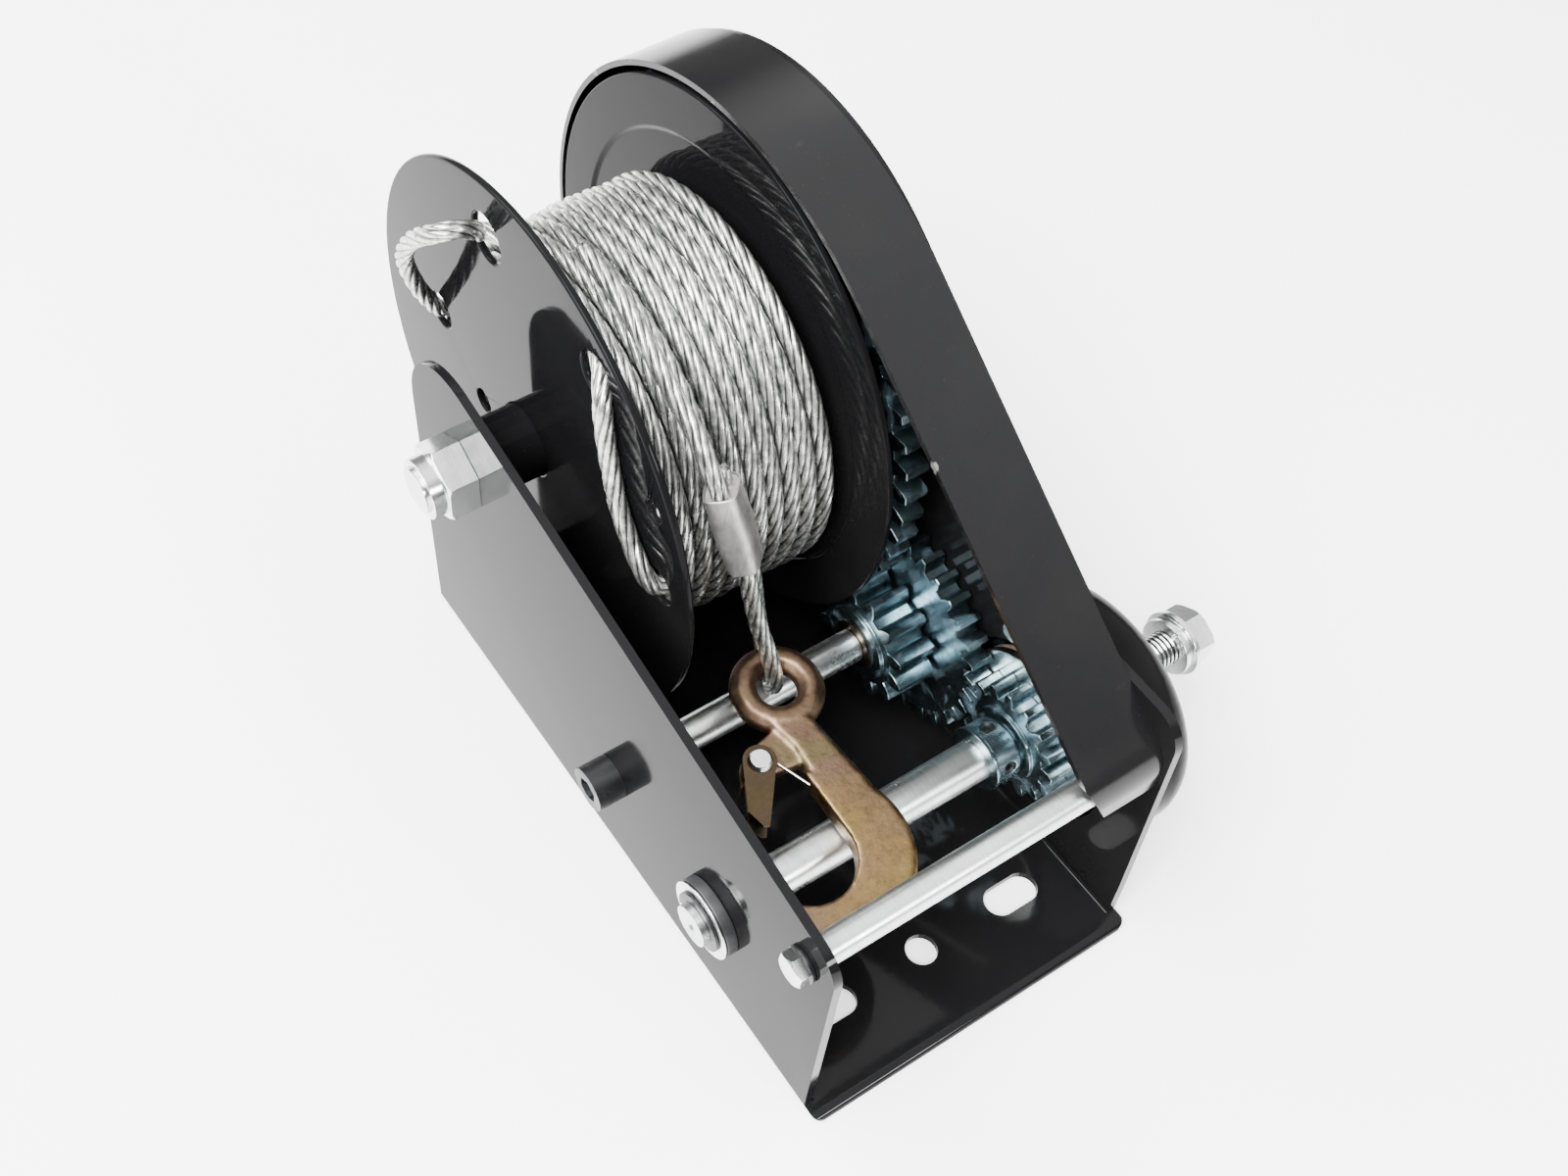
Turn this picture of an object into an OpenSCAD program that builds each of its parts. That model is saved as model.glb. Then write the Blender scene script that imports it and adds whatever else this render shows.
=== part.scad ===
// Hand winch for a boat trailer: two-stage spur gearing, a friction brake in a
// round cup, and a steel rope with a safety hook. The origin is the centre of
// the bolt pattern on the underside of the base; +X is the crank side, and the
// rope pays out towards -Y.

/* [Frame] */
// Length of the base channel
base_l = 241; // [238:1:246]
// Width over the two side walls
base_w = 130; // [129:1:132]
// Thickness of the channel's sheet
sheet_t = 3; // [2.8:0.1:3.2]
// Outer radius of the two long bends
bend_r = 4.5; // [4:0.5:6]
// How far the base runs on past the walls at each end
base_lip = 3.4; // [2:0.2:4]
// Distance of the slots and round holes from each end of the base
hole_inset = 25.7; // [24:0.1:28]
// Distance between the two rows of slots
slot_pitch = 77; // [74:1:80]
// Length of each slot, end to end
slot_len = 20.5; // [18:0.5:24]
// Width of the slots and of the round holes
slot_w = 11; // [10:0.5:12]

/* [Drum] */
// Drum axis behind the front edge of the base
drum_back = 208; // [206:0.5:210]
// Drum axis above the underside
drum_up = 111; // [109:0.5:112]
// Radius of the drum's flanges
flange_r = 96.3; // [95:0.1:97]
// Radius of the full rope winding
winding_r = 71; // [60:1:71]
// How far the winding's middle lies in front of the drum's axis
winding_offset = 6; // [0:1:6]
// Diameter of the steel rope
rope_d = 6; // [5:0.5:6]
// Radius of the drum's axle
axle_r = 8; // [7:0.5:8.5]

/* [Gearing] */
// Teeth on the small pinion that drives the drum
pinion_teeth = 12; // [11:1:13]
// Teeth on the drum gear
drum_teeth = 57; // [56:1:58]
// Module of the slow gear pair
slow_module = 3.25; // [3.23:0.01:3.27]
// Teeth on the drive pinion
drive_teeth = 16; // [15:1:17]
// Teeth on the intermediate gear
idler_teeth = 31; // [30:1:32]
// Module of the fast gear pair
fast_module = 2.5; // [2.48:0.01:2.52]
// Play between the teeth of each gear, at the pitch circle
backlash = 0.16; // [0.1:0.02:0.24]

/* [Brake] */
// Outer radius of the brake cup
cup_r = 46; // [45:0.5:46.5]
// Depth of the brake cup
cup_depth = 30.5; // [29:0.5:31]
// Teeth on the brake's ratchet wheel
ratchet_teeth = 16; // [14:1:18]

/* [Hook] */
// Thickness of the forged hook
hook_t = 9; // [8:0.5:9]
// Outer radius of the hook's eye
eye_r = 16; // [15.5:0.5:16.5]
// Radius of the hole in the hook's eye
eye_hole_r = 6.65; // [6.5:0.05:7]

/* [Hidden] */
$fn = 48;
EPS = 0.01;
RUN = 0.05;

// Faces of the frame along X
xl = -base_w / 2;
xli = xl + sheet_t;
xr = base_w / 2;
xri = xr - sheet_t;
front = -base_l / 2;
rear = base_l / 2;

// Axes as [Y, Z]
slow_centres = slow_module * (pinion_teeth + drum_teeth) / 2;
fast_centres = fast_module * (drive_teeth + idler_teeth) / 2;
slow_dir = 215.1;
fast_dir = 179.3;
drum_c = [front + drum_back, drum_up];
idler_c = drum_c + slow_centres * [cos(slow_dir), sin(slow_dir)];
drive_c = idler_c + fast_centres * [cos(fast_dir), sin(fast_dir)];
tie_c = [front + 15.9, 89.2];

// Outline of the left wall
wall_front = front + 3;
wall_slope = 11.95;
wall_top = 103.5;
wall_front_r = 12;
wall_rear_r = 30;

// Outline of the right wall and of the guard over the gears
guard_r = 100;
guard_t = 2;
guard_w = 29;
guard_blend_r = 118.7;
guard_slope = 35.6;
guard_front_r = 16;
guard_end = -33;
guard_c = [front + 208.5, 111.3];
nose_r = 12;
nose_c = [front + 19.7, 99];
cup_opening_r = 34;

// Gear tooth proportions, in modules
slow_addendum = 0.85;
slow_shift = 0.3;
fast_addendum = 0.8;
dedendum = 1.1;
pressure = 20;

// Stations along X
left_flange_x = xl + 24;
flange_t = 2.5;
right_flange_x = xr - 32.3;
drum_gear_x = xr - 23.4;
drum_gear_w = 8.9;
pinion_x = xr - 29.3;
pinion_w = 15.3;
fast_x = xr - 13;
fast_w = 8.6;
ratchet_x = xr + 1.6;
ratchet_w = 5;
hub_x = xr + 9.2;
hub_end = xr + cup_depth + 2;
crank_head_x = hub_end + 30;
shaft_left = xl - 8.7;

// Radii
hub_tube_r = 13;
barrel_r = 25;
winding_crown = 4;
shaft_r = 7.25;
bush_r = 10;
bush_flange_r = 13.75;
sleeve_r = 6;
tie_r = 5;
hub_r = 14;
disc_r = 29;
ratchet_r = 31;
pawl_pin_r = 3.5;
pawl_dir = 60;
pawl_reach = 37.5;
pawl_c = drive_c + pawl_reach * [cos(pawl_dir), sin(pawl_dir)];

// ---- helpers ----

// A profile drawn in Y and Z, extruded along +X from x0
module along_x(x0, w) {
    translate([x0, 0, 0]) rotate([90, 0, 90]) linear_extrude(w) children();
}

// A profile of [radius, X] turned about the axis at c
module spin_x(c, x0 = 0, start = 0, angle = 360) {
    translate([x0, c[0], c[1]]) rotate([90, 0, 90]) rotate([0, 0, start])
        rotate_extrude(angle = angle) children();
}

module rod_x(c, x0, x1, r) {
    translate([x0, c[0], c[1]]) rotate([0, 90, 0]) cylinder(h = x1 - x0, r = r);
}

module tube_x(c, x0, x1, ro, ri) {
    difference() {
        rod_x(c, x0, x1, ro);
        rod_x(c, x0 - 1, x1 + 1, ri);
    }
}

// A hexagon across flats af, with the corners turned off at one end
module hex_x(c, x0, x1, af, outer_end = 1) {
    corner = af / 2 / cos(30);
    turned = outer_end > 0
        ? [[0, x0], [corner + 1, x0], [corner + 1, x1 - 1.6], [corner - 1.1, x1], [0, x1]]
        : [[0, x0], [corner - 1.1, x0], [corner + 1, x0 + 1.6], [corner + 1, x1], [0, x1]];
    intersection() {
        translate([x0, c[0], c[1]]) rotate([0, 90, 0]) cylinder(h = x1 - x0, r = corner, $fn = 6);
        spin_x(c) polygon(turned);
    }
}

// The involute function, in degrees
function inv(a) = tan(a) * 180 / PI - a;

// Half of a tooth's angle at radius r
function half_tooth(r, z, m, shift) =
    let (base = m * z * cos(pressure) / 2,
         pitch_half = (PI / 2 + 2 * shift * tan(pressure)) / z - backlash / (m * z))
    pitch_half * 180 / PI + inv(pressure) - inv(acos(min(1, base / r)));

function polar(r, a) = [r * cos(a), r * sin(a)];

// Outline of an involute gear, with a tooth centred on the angle phase
module gear_outline(z, m, shift, addendum, phase) {
    pitch = m * z / 2;
    base = pitch * cos(pressure);
    tip = pitch + m * (addendum + shift);
    root = pitch - m * (dedendum - shift);
    start = max(base, root);
    steps = 5;
    radii = concat([root], [for (i = [0:steps]) start + (tip - start) * i / steps]);
    polygon([for (i = [0:z - 1])
        let (a = phase + 360 * i / z)
        each concat(
            [for (r = radii) polar(r, a - half_tooth(max(r, base), z, m, shift))],
            [for (k = [len(radii) - 1:-1:0])
                polar(radii[k], a + half_tooth(max(radii[k], base), z, m, shift))])]);
}

module gear_x(c, x0, w, z, m, shift, addendum, phase) {
    along_x(x0, w) translate(c) gear_outline(z, m, shift, addendum, phase);
}

// ---- swept rope ----

function unit(v) = v / norm(v);

function spline_point(p, i, t) =
    let (a = p[max(i - 1, 0)], b = p[i], c = p[i + 1], d = p[min(i + 2, len(p) - 1)])
    0.5 * (2 * b + (c - a) * t + (2 * a - 5 * b + 4 * c - d) * t * t
           + (3 * b - a - 3 * c + d) * t * t * t);

// A smooth line through the route, with n rings to each span
function smooth_route(p, n) = concat(
    [for (i = [0:len(p) - 2], k = [0:n - 1]) spline_point(p, i, k / n)], [p[len(p) - 1]]);

function tangent(q, i) = unit(q[min(i + 1, len(q) - 1)] - q[max(i - 1, 0)]);

function side_of(n, t) = unit(n - (n * t) * t);

function sides(q, first) = [
    for (i = 0, n = side_of(first, tangent(q, 0)); i < len(q);
         i = i + 1, n = side_of(n, tangent(q, min(i, len(q) - 1)))) n];

module rope_along(route, per_span, first, d = rope_d, k = 8) {
    q = smooth_route(route, per_span);
    n = sides(q, first);
    rings = len(q);
    points = [for (i = [0:rings - 1], j = [0:k - 1])
        let (b = cross(tangent(q, i), n[i]), a = 360 * j / k)
        q[i] + d / 2 * (cos(a) * n[i] + sin(a) * b)];
    walls = [for (i = [0:rings - 2], j = [0:k - 1])
        [i * k + j, i * k + (j + 1) % k, (i + 1) * k + (j + 1) % k, (i + 1) * k + j]];
    polyhedron(points, concat(
        [[for (j = [k - 1:-1:0]) j]],
        [for (w = walls) [w[0], w[1], w[2]]],
        [for (w = walls) [w[0], w[2], w[3]]],
        [[for (j = [0:k - 1]) (rings - 1) * k + j]]));
}

// ---- frame ----

function wall_line(y) = wall_top + (y - front) * tan(wall_slope);

module left_wall_outline() {
    n = [-sin(wall_slope), cos(wall_slope)];
    fc = [wall_front + wall_front_r,
          wall_line(wall_front + wall_front_r) - wall_front_r / cos(wall_slope)];
    rc = [rear - wall_rear_r, wall_line(rear - wall_rear_r) - wall_rear_r / cos(wall_slope)];
    polygon([[wall_front, 0], [rear, 0], [rear, rc[1]], rc + wall_rear_r * n,
             fc + wall_front_r * n, [wall_front, fc[1]]]);
    translate(fc) circle(wall_front_r);
    translate(rc) circle(wall_rear_r);
}

// The wall's disc over the drum gear, its slope to the nose, and its foot
module right_wall_outline() {
    edge = guard_r - 1;
    top = guard_c + polar(edge, 90 + guard_slope);
    foot = [rear, 0];
    away = foot - guard_c;
    tangent_dir = atan2(away[1], away[0]) + acos(edge / norm(away));
    nose_top = nose_c[1] + nose_r;
    slope_foot = top - (top[1] - nose_top - 0.5) * [1 / tan(guard_slope), 1];
    polygon([[wall_front, 0], foot, guard_c + polar(edge, tangent_dir), guard_c, top,
             slope_foot, [nose_c[0], nose_top], [nose_c[0] - nose_r, nose_c[1]],
             [wall_front + 0.7, 21]]);
    translate(guard_c) circle(edge);
    translate(nose_c) circle(nose_r);
}

module base_slot(x, y) {
    reach = (slot_len - slot_w) / 2;
    for (s = [-1, 1])
        translate([x + s * reach, y, -1]) cylinder(h = sheet_t + 2, d = slot_w);
    translate([x - reach, y - slot_w / 2, -1]) cube([2 * reach, slot_w, sheet_t + 2]);
}

module base_holes() {
    for (y = [front + hole_inset, rear - hole_inset]) {
        for (x = [-slot_pitch / 2, slot_pitch / 2])
            base_slot(x, y);
        translate([0, y, -1]) cylinder(h = sheet_t + 2, d = slot_w);
    }
}

// What is cut off outside a long bend, at the wall face x, on side s
module bend_cut(x, s) {
    difference() {
        translate([s > 0 ? x - bend_r : x - 5, front - 5, -5])
            cube([bend_r + 5, base_l + 10, bend_r + 5]);
        translate([x - s * bend_r, front - 6, bend_r])
            rotate([-90, 0, 0]) cylinder(h = base_l + 12, r = bend_r);
    }
}

module bend_fillet(x, s) {
    r = bend_r - sheet_t;
    difference() {
        translate([s > 0 ? x - r : x, wall_front, sheet_t]) cube([r, rear - wall_front, r]);
        translate([x - s * r, wall_front - 1, sheet_t + r])
            rotate([-90, 0, 0]) cylinder(h = base_l + 2, r = r);
    }
}

// The base sheet, its ends rolled over at the top by the shear and round at the corners
module base_sheet() {
    corner = 4;
    end = rear + base_lip;
    rolled = [[rear, sheet_t], [end - 1.6, sheet_t - 0.2], [end - 0.6, sheet_t - 0.8],
              [end, sheet_t - 1.8], [end, 0.3], [end - 0.3, 0]];
    intersection() {
        along_x(xl, base_w) for (s = [0, 1])
            mirror([s, 0]) polygon(concat([[-1, 0], [-1, sheet_t]], rolled));
        linear_extrude(sheet_t) {
            square([base_w, 2 * (end - corner)], center = true);
            square([base_w - 2 * corner, 2 * end], center = true);
            for (x = [-1, 1], y = [-1, 1])
                translate([x * (xr - corner), y * (end - corner)]) circle(corner);
        }
    }
}

module frame_channel() color([0.13, 0.13, 0.14])
    difference() {
        union() {
            along_x(xl, sheet_t) left_wall_outline();
            along_x(xri, sheet_t) right_wall_outline();
            base_sheet();
            bend_fillet(xli, -1);
            bend_fillet(xri, 1);
        }
        bend_cut(xl, -1);
        bend_cut(xr, 1);
        base_holes();
        rod_x(drum_c, xl - 1, xr + 1, axle_r + 0.2);
        rod_x(idler_c, xl - 1, xr + 1, 5.2);
        rod_x(tie_c, xl - 1, xr + 1, 3.2);
        rod_x(drive_c, xl - 1, xli + 1, bush_r);
        rod_x(drive_c, xri - 1, xr + 1, cup_opening_r);
        rod_x([front + 17, 8], xri - 1, xr + 1, 1.5);
        rod_x(pawl_c, xri - 1, xr + 1, pawl_pin_r);
    }

function arc(c, r, from, to, steps) =
    [for (i = [0:steps]) c + polar(r, from + (to - from) * i / steps)];

// One face of the guard's strip, this far inside its outer face
function guard_line(inset) =
    let (n = 90 + guard_slope,
         blend_c = guard_c - [0, guard_blend_r - guard_r],
         strip_top = blend_c + polar(guard_blend_r, n),
         bend_y = front + 8.6 + guard_front_r,
         run = (strip_top[0] - bend_y - guard_front_r * cos(n)) / cos(guard_slope),
         bend_c = strip_top - run * [cos(guard_slope), sin(guard_slope)]
                  - polar(guard_front_r, n))
    concat(arc(guard_c, guard_r - inset, guard_end, 90, 60),
           arc(blend_c, guard_blend_r - inset, 92, n, 18),
           arc(bend_c, guard_front_r - inset, n, 180, 12),
           [bend_c + [inset - guard_front_r, -6]]);

// The strip over the gears, with the free corner of its front lip cut off
module gear_guard() color([0.16, 0.14, 0.13]) {
    outer = guard_line(0);
    inner = guard_line(guard_t);
    x0 = xri - guard_w;
    lip = outer[len(outer) - 1];
    cut_w = 8.2;
    cut_slope = 2.02;
    difference() {
        along_x(x0, guard_w)
            polygon(concat(outer, [for (i = [len(inner) - 1:-1:0]) inner[i]]));
        translate([x0, lip[0] + guard_front_r, lip[1]]) rotate([90, 0, 0])
            linear_extrude(2 * guard_front_r)
                polygon([[-1, -1], [cut_w + 1 / cut_slope, -1], [-1, (cut_w + 1) * cut_slope]]);
    }
}

// The pressed cup over the brake, open towards the wall
module brake_cup() color([0.14, 0.14, 0.15]) {
    t = 2;
    shoulder = 14;
    mouth = bush_r + 10;
    spin_x(drive_c, xr) difference() {
        union() {
            square([cup_r - shoulder, cup_depth]);
            square([cup_r, cup_depth - shoulder]);
            translate([cup_r - shoulder, cup_depth - shoulder]) circle(shoulder);
        }
        union() {
            translate([-1, -1]) square([cup_r - shoulder + 1, cup_depth - t + 1]);
            translate([-1, -1]) square([cup_r - t + 1, cup_depth - shoulder + 1]);
            translate([cup_r - shoulder, cup_depth - shoulder]) circle(shoulder - t);
        }
        translate([-1, -1]) square([mouth + 1, cup_depth + 2]);
    }
}

module tie_rod() color("silver")
    tube_x(tie_c, xli, xri, tie_r, 3);

module tie_rod_bolts() color([0.25, 0.25, 0.26])
    for (s = [-1, 1]) {
        head = s > 0 ? xr + 1.4 : xl - 5.4;
        hex_x(tie_c, head, head + 4, 10, s);
        rod_x(tie_c, s > 0 ? xri - 14 : xl - 1.4, s > 0 ? xr + 1.4 : xli + 14, 2.95);
    }

module tie_rod_washers() color("silver")
    for (x = [xl - 1.4, xr])
        tube_x(tie_c, x, x + 1.4, 6, 3.2);

// ---- fixed axles ----

module drum_axle() color("silver") {
    rod_x(drum_c, xl - 17.35, xr, axle_r);
    hex_x(drum_c, xr, xr + 10, 24);
}

module axle_nut() color("silver") {
    difference() {
        union() {
            hex_x(drum_c, xl - 11, xl, 24, -1);
            rod_x(drum_c, xl - 16, xl - 11, 10.8);
        }
        rod_x(drum_c, xl - 20, xl + 1, axle_r + RUN);
    }
}

module idler_bolt() color([0.12, 0.12, 0.13])
    difference() {
        union() {
            rod_x(idler_c, xl - 10, xl, 8);
            rod_x(idler_c, xl, xr + 11, 5);
        }
        translate([xl - 11, idler_c[0], idler_c[1]]) rotate([0, 90, 0])
            cylinder(h = 6, r = 8 / 2 / cos(30), $fn = 6);
    }

module idler_sleeve() color("silver")
    difference() {
        tube_x(idler_c, xli, xri, sleeve_r, 5.1);
        tube_x(idler_c, xr - 32, xr - 31, sleeve_r + 1, sleeve_r - 0.5);
    }

module idler_nut() color("silver")
    difference() {
        union() {
            hex_x(idler_c, xr, xr + 7, 17);
            rod_x(idler_c, xr + 7, xr + 9.5, 7.6);
        }
        rod_x(idler_c, xr - 1, xr + 12, 5 + RUN);
    }

module split_ring(c, x0, x1, ro, ri, gap_dir, gap) {
    difference() {
        tube_x(c, x0, x1, ro, ri);
        translate([x0 - 1, c[0], c[1]]) rotate([gap_dir, 0, 0])
            translate([0, 0, -gap / 2]) cube([x1 - x0 + 2, ro + 1, gap]);
    }
}

module idler_snap_ring() color([0.78, 0.66, 0.35])
    split_ring(idler_c, xr - 31.9, xr - 31.1, 9.3, sleeve_r - 0.4, -60, 7);

module idler_washer() color("silver")
    tube_x(idler_c, xri - 0.9, xri - 0.1, 11, sleeve_r + 0.1);

module drive_bush_left() color([0.1, 0.1, 0.1])
    difference() {
        union() {
            rod_x(drive_c, xl - 4, xl, bush_flange_r);
            rod_x(drive_c, xl, xli + 1, bush_r);
        }
        rod_x(drive_c, xl - 5, xli + 2, shaft_r + RUN);
    }

module drive_bush_right() color([0.1, 0.1, 0.1])
    tube_x(drive_c, xr + cup_depth - 4, xr + cup_depth, bush_r + 10, hub_r + RUN);

module pawl_pin() color("silver")
    difference() {
        union() {
            rod_x(pawl_c, xri, xr + 9, pawl_pin_r);
            tube_x(pawl_c, xr, ratchet_x + 0.1, 5.2, pawl_pin_r - EPS);
        }
        tube_x(pawl_c, ratchet_x + 5.2, ratchet_x + 6, pawl_pin_r + 1, pawl_pin_r - 0.6);
    }

module pawl_clip() color("silver")
    split_ring(pawl_c, ratchet_x + 5.25, ratchet_x + 5.95, 6, pawl_pin_r - 0.5, 60, 5);

// ---- drum ----

module hub_tube() color([0.15, 0.15, 0.16])
    tube_x(drum_c, xli + 2, xri - 2, hub_tube_r, axle_r + RUN);

module drum_barrel() color([0.15, 0.15, 0.16])
    tube_x(drum_c, left_flange_x + flange_t, right_flange_x + 1, barrel_r, barrel_r - 3);

// Holes for the rope's end, as [radius, angle, hole diameter]
rope_holes = [
    [76, 77, 16.5], [57, 13, 13], [30, -15, 8.5], [83, 122.5, 15], [86, 151.5, 7], [80, 173, 13]];

module left_flange() color([0.15, 0.15, 0.16])
    difference() {
        tube_x(drum_c, left_flange_x, left_flange_x + flange_t, flange_r, hub_tube_r);
        for (h = rope_holes)
            rod_x(drum_c + polar(h[0], h[1]), left_flange_x - 1, left_flange_x + flange_t + 1, h[2] / 2);
    }

// The right flange is stepped towards the gear inside its rim
module right_flange() color([0.15, 0.15, 0.16]) {
    step = 1;
    step_r = 79;
    t = flange_t;
    spin_x(drum_c, right_flange_x)
        polygon([[hub_tube_r, step], [step_r - 1, step], [step_r, 0], [flange_r, 0],
                 [flange_r, t], [step_r + 1, t], [step_r, t + step], [hub_tube_r, t + step]]);
}

module gear_hub_ring() color([0.15, 0.15, 0.16])
    tube_x(drum_c, right_flange_x + flange_t + 1, drum_gear_x, 30, hub_tube_r);

module drum_gear() color([0.32, 0.36, 0.4])
    difference() {
        gear_x(drum_c, drum_gear_x, drum_gear_w, drum_teeth, slow_module, -slow_shift,
               slow_addendum, slow_dir + 180 / drum_teeth);
        rod_x(drum_c, drum_gear_x - 1, drum_gear_x + drum_gear_w + 1, hub_tube_r);
        tube_x(drum_c, drum_gear_x + drum_gear_w - 2, drum_gear_x + drum_gear_w + 1, 78, 26);
    }

// Radius of a top wrap's centre line, at the share u of the way across; the left half is crowned
function wrap_r(u) = winding_r - rope_d / 2 - winding_crown * pow(min(2 * u - 1, 0), 2);

// The wraps of the top layer stand as rings on the winding, which lies heavier to the front
module rope_winding() color([0.7, 0.71, 0.7]) {
    x0 = left_flange_x + flange_t;
    x1 = right_flange_x;
    wraps = floor((x1 - x0) / rope_d);
    pitch = (x1 - x0) / wraps;
    centres = [for (i = [0:wraps - 1]) [wrap_r((i + 0.5) / wraps), x0 + (i + 0.5) * pitch]];
    difference() {
        spin_x(drum_c - [winding_offset, 0]) {
            polygon(concat([[0, x0], [centres[0][0], x0]], centres,
                           [[centres[wraps - 1][0], x1], [0, x1]]));
            for (c = centres)
                translate(c) circle(pitch / 2);
        }
        rod_x(drum_c, x0 - 1, x1 + 1, barrel_r);
    }
}

// The rope's inner end, laced through the left flange, as [X from the flange, radius, angle]
lace_route = [
    [5.5, 72, 184], [5, 76, 178], [2.5, 79.5, 174], [-1, 79.8, 172.8], [-3.6, 78.5, 168.5],
    [-3.6, 73, 162], [-3.6, 70.8, 152], [-3.6, 73.7, 143], [-3.6, 78.7, 135], [-3.3, 84.5, 129.5],
    [-0.8, 86.3, 125], [2.2, 85.5, 121], [5.8, 81, 114.5], [6, 76, 104], [6, 74.2, 90],
    [5, 75.3, 80], [1.5, 76.8, 75], [-0.5, 77, 74.5], [-3.5, 80.5, 77], [-9, 83.6, 78],
    [-14.5, 83, 75.5], [-16.2, 77, 64.5], [-16, 70.8, 53], [-13, 65.5, 42], [-8.5, 60, 30],
    [-3, 58.5, 18], [0.5, 59, 11.5], [5, 58.5, 9]];

function on_drum(p) =
    let (q = drum_c + polar(p[1], p[2])) [left_flange_x + p[0], q[0], q[1]];

module rope_anchor() color([0.7, 0.71, 0.7])
    rope_along([for (p = lace_route) on_drum(p)], 2, [0, 0, 1]);

// ---- intermediate shaft ----

module idler_pinion() color([0.5, 0.55, 0.62])
    difference() {
        union() {
            gear_x(idler_c, pinion_x, pinion_w, pinion_teeth, slow_module, slow_shift,
                   slow_addendum, slow_dir + 180);
            rod_x(idler_c, pinion_x - 1.7, fast_x, hub_r);
        }
        rod_x(idler_c, pinion_x - 3, fast_x + 1, sleeve_r + RUN);
    }

module idler_gear() color([0.5, 0.55, 0.62])
    difference() {
        union() {
            gear_x(idler_c, fast_x, fast_w, idler_teeth, fast_module, 0, fast_addendum, fast_dir);
            rod_x(idler_c, fast_x, xri - 1, hub_r);
        }
        rod_x(idler_c, fast_x - 1, xri, sleeve_r + RUN);
        tube_x(idler_c, fast_x + fast_w - 2, fast_x + fast_w + 1, 31, 17);
    }

// ---- drive shaft ----

module drive_shaft() color("silver")
    difference() {
        rod_x(drive_c, shaft_left, hub_end - 2, shaft_r);
        tube_x(drive_c, xl - 6.2, xl - 5.1, shaft_r + 1, shaft_r - 0.9);
        translate([shaft_left - EPS, drive_c[0], drive_c[1]]) rotate([0, 90, 0])
            cylinder(h = 2.5, r1 = 2.5, r2 = 0);
        rod_x(drive_c, xr + 5, hub_end + 1, 6 + RUN);
    }

module drive_pinion() color([0.5, 0.55, 0.62])
    difference() {
        union() {
            gear_x(drive_c, fast_x, fast_w + 0.4, drive_teeth, fast_module, 0, fast_addendum,
                   fast_dir + 180 + 180 / drive_teeth);
            rod_x(drive_c, fast_x - 1.5, fast_x, 13.5);
        }
        rod_x(drive_c, fast_x - 2, fast_x + fast_w + 1, shaft_r);
    }

module shaft_collar() color([0.55, 0.6, 0.66])
    difference() {
        union() {
            rod_x(drive_c, xr - 26, xr - 24.5, 11.5);
            rod_x(drive_c, xr - 24.5, xr - 16, 11);
            rod_x(drive_c, xr - 16, fast_x - 1.5, 9);
        }
        rod_x(drive_c, xr - 27, fast_x, shaft_r);
        for (a = [70, 160])
            translate([xr - 20.2, drive_c[0], drive_c[1]]) rotate([a, 0, 0])
                rotate([-90, 0, 0]) cylinder(h = 14, r = 2.5);
    }

module set_screws() color([0.12, 0.12, 0.13])
    for (a = [70, 160])
        translate([xr - 20.2, drive_c[0], drive_c[1]]) rotate([a, 0, 0]) rotate([-90, 0, 0])
            difference() {
                translate([0, 0, shaft_r]) cylinder(h = 2.8, r = 2.5);
                translate([0, 0, shaft_r + 1.2]) cylinder(h = 3, r = 1.4, $fn = 6);
            }

module shaft_washer() color("silver")
    tube_x(drive_c, xl - 5, xl - 4.1, bush_flange_r, shaft_r + 0.1);

module shaft_clip() color([0.2, 0.2, 0.2])
    split_ring(drive_c, xl - 6.1, xl - 5.15, 10.5, shaft_r - 0.8, -40, 8);

module brake_plate() color([0.6, 0.62, 0.64])
    tube_x(drive_c, xr - 4, xr - 1, disc_r + 0.5, shaft_r);

module friction_discs() color([0.3, 0.22, 0.18]) {
    tube_x(drive_c, xr - 1, ratchet_x - 0.1, disc_r, shaft_r + 4);
    tube_x(drive_c, ratchet_x + ratchet_w + 0.1, hub_x, disc_r, shaft_r + 4);
}

module brake_hub() color([0.5, 0.52, 0.55])
    difference() {
        union() {
            rod_x(drive_c, hub_x, hub_x + 5, disc_r);
            rod_x(drive_c, hub_x + 5, hub_end, hub_r);
        }
        rod_x(drive_c, hub_x - 1, hub_end + 1, shaft_r);
    }

module crank_bolt() color("silver") {
    rod_x(drive_c, xr + 6, crank_head_x, 6);
    hex_x(drive_c, crank_head_x, crank_head_x + 8, 19);
}

module crank_spring_washer() color("silver")
    split_ring(drive_c, crank_head_x - 5, crank_head_x - 2, 10.5, 6.1, 100, 1.2);

module crank_washer() color("silver")
    tube_x(drive_c, crank_head_x - 2, crank_head_x, 12, 6.1);

// ---- ratchet and pawl ----

module ratchet_wheel() color([0.4, 0.42, 0.45]) {
    pitch = 360 / ratchet_teeth;
    root = ratchet_r - 4.5;
    difference() {
        along_x(ratchet_x, ratchet_w) translate(drive_c)
            polygon([for (i = [0:ratchet_teeth - 1])
                each [polar(root, i * pitch), polar(ratchet_r, i * pitch + 1),
                      polar(ratchet_r, i * pitch + 3)]]);
        rod_x(drive_c, ratchet_x - 1, ratchet_x + ratchet_w + 1, shaft_r + RUN);
    }
}

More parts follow.
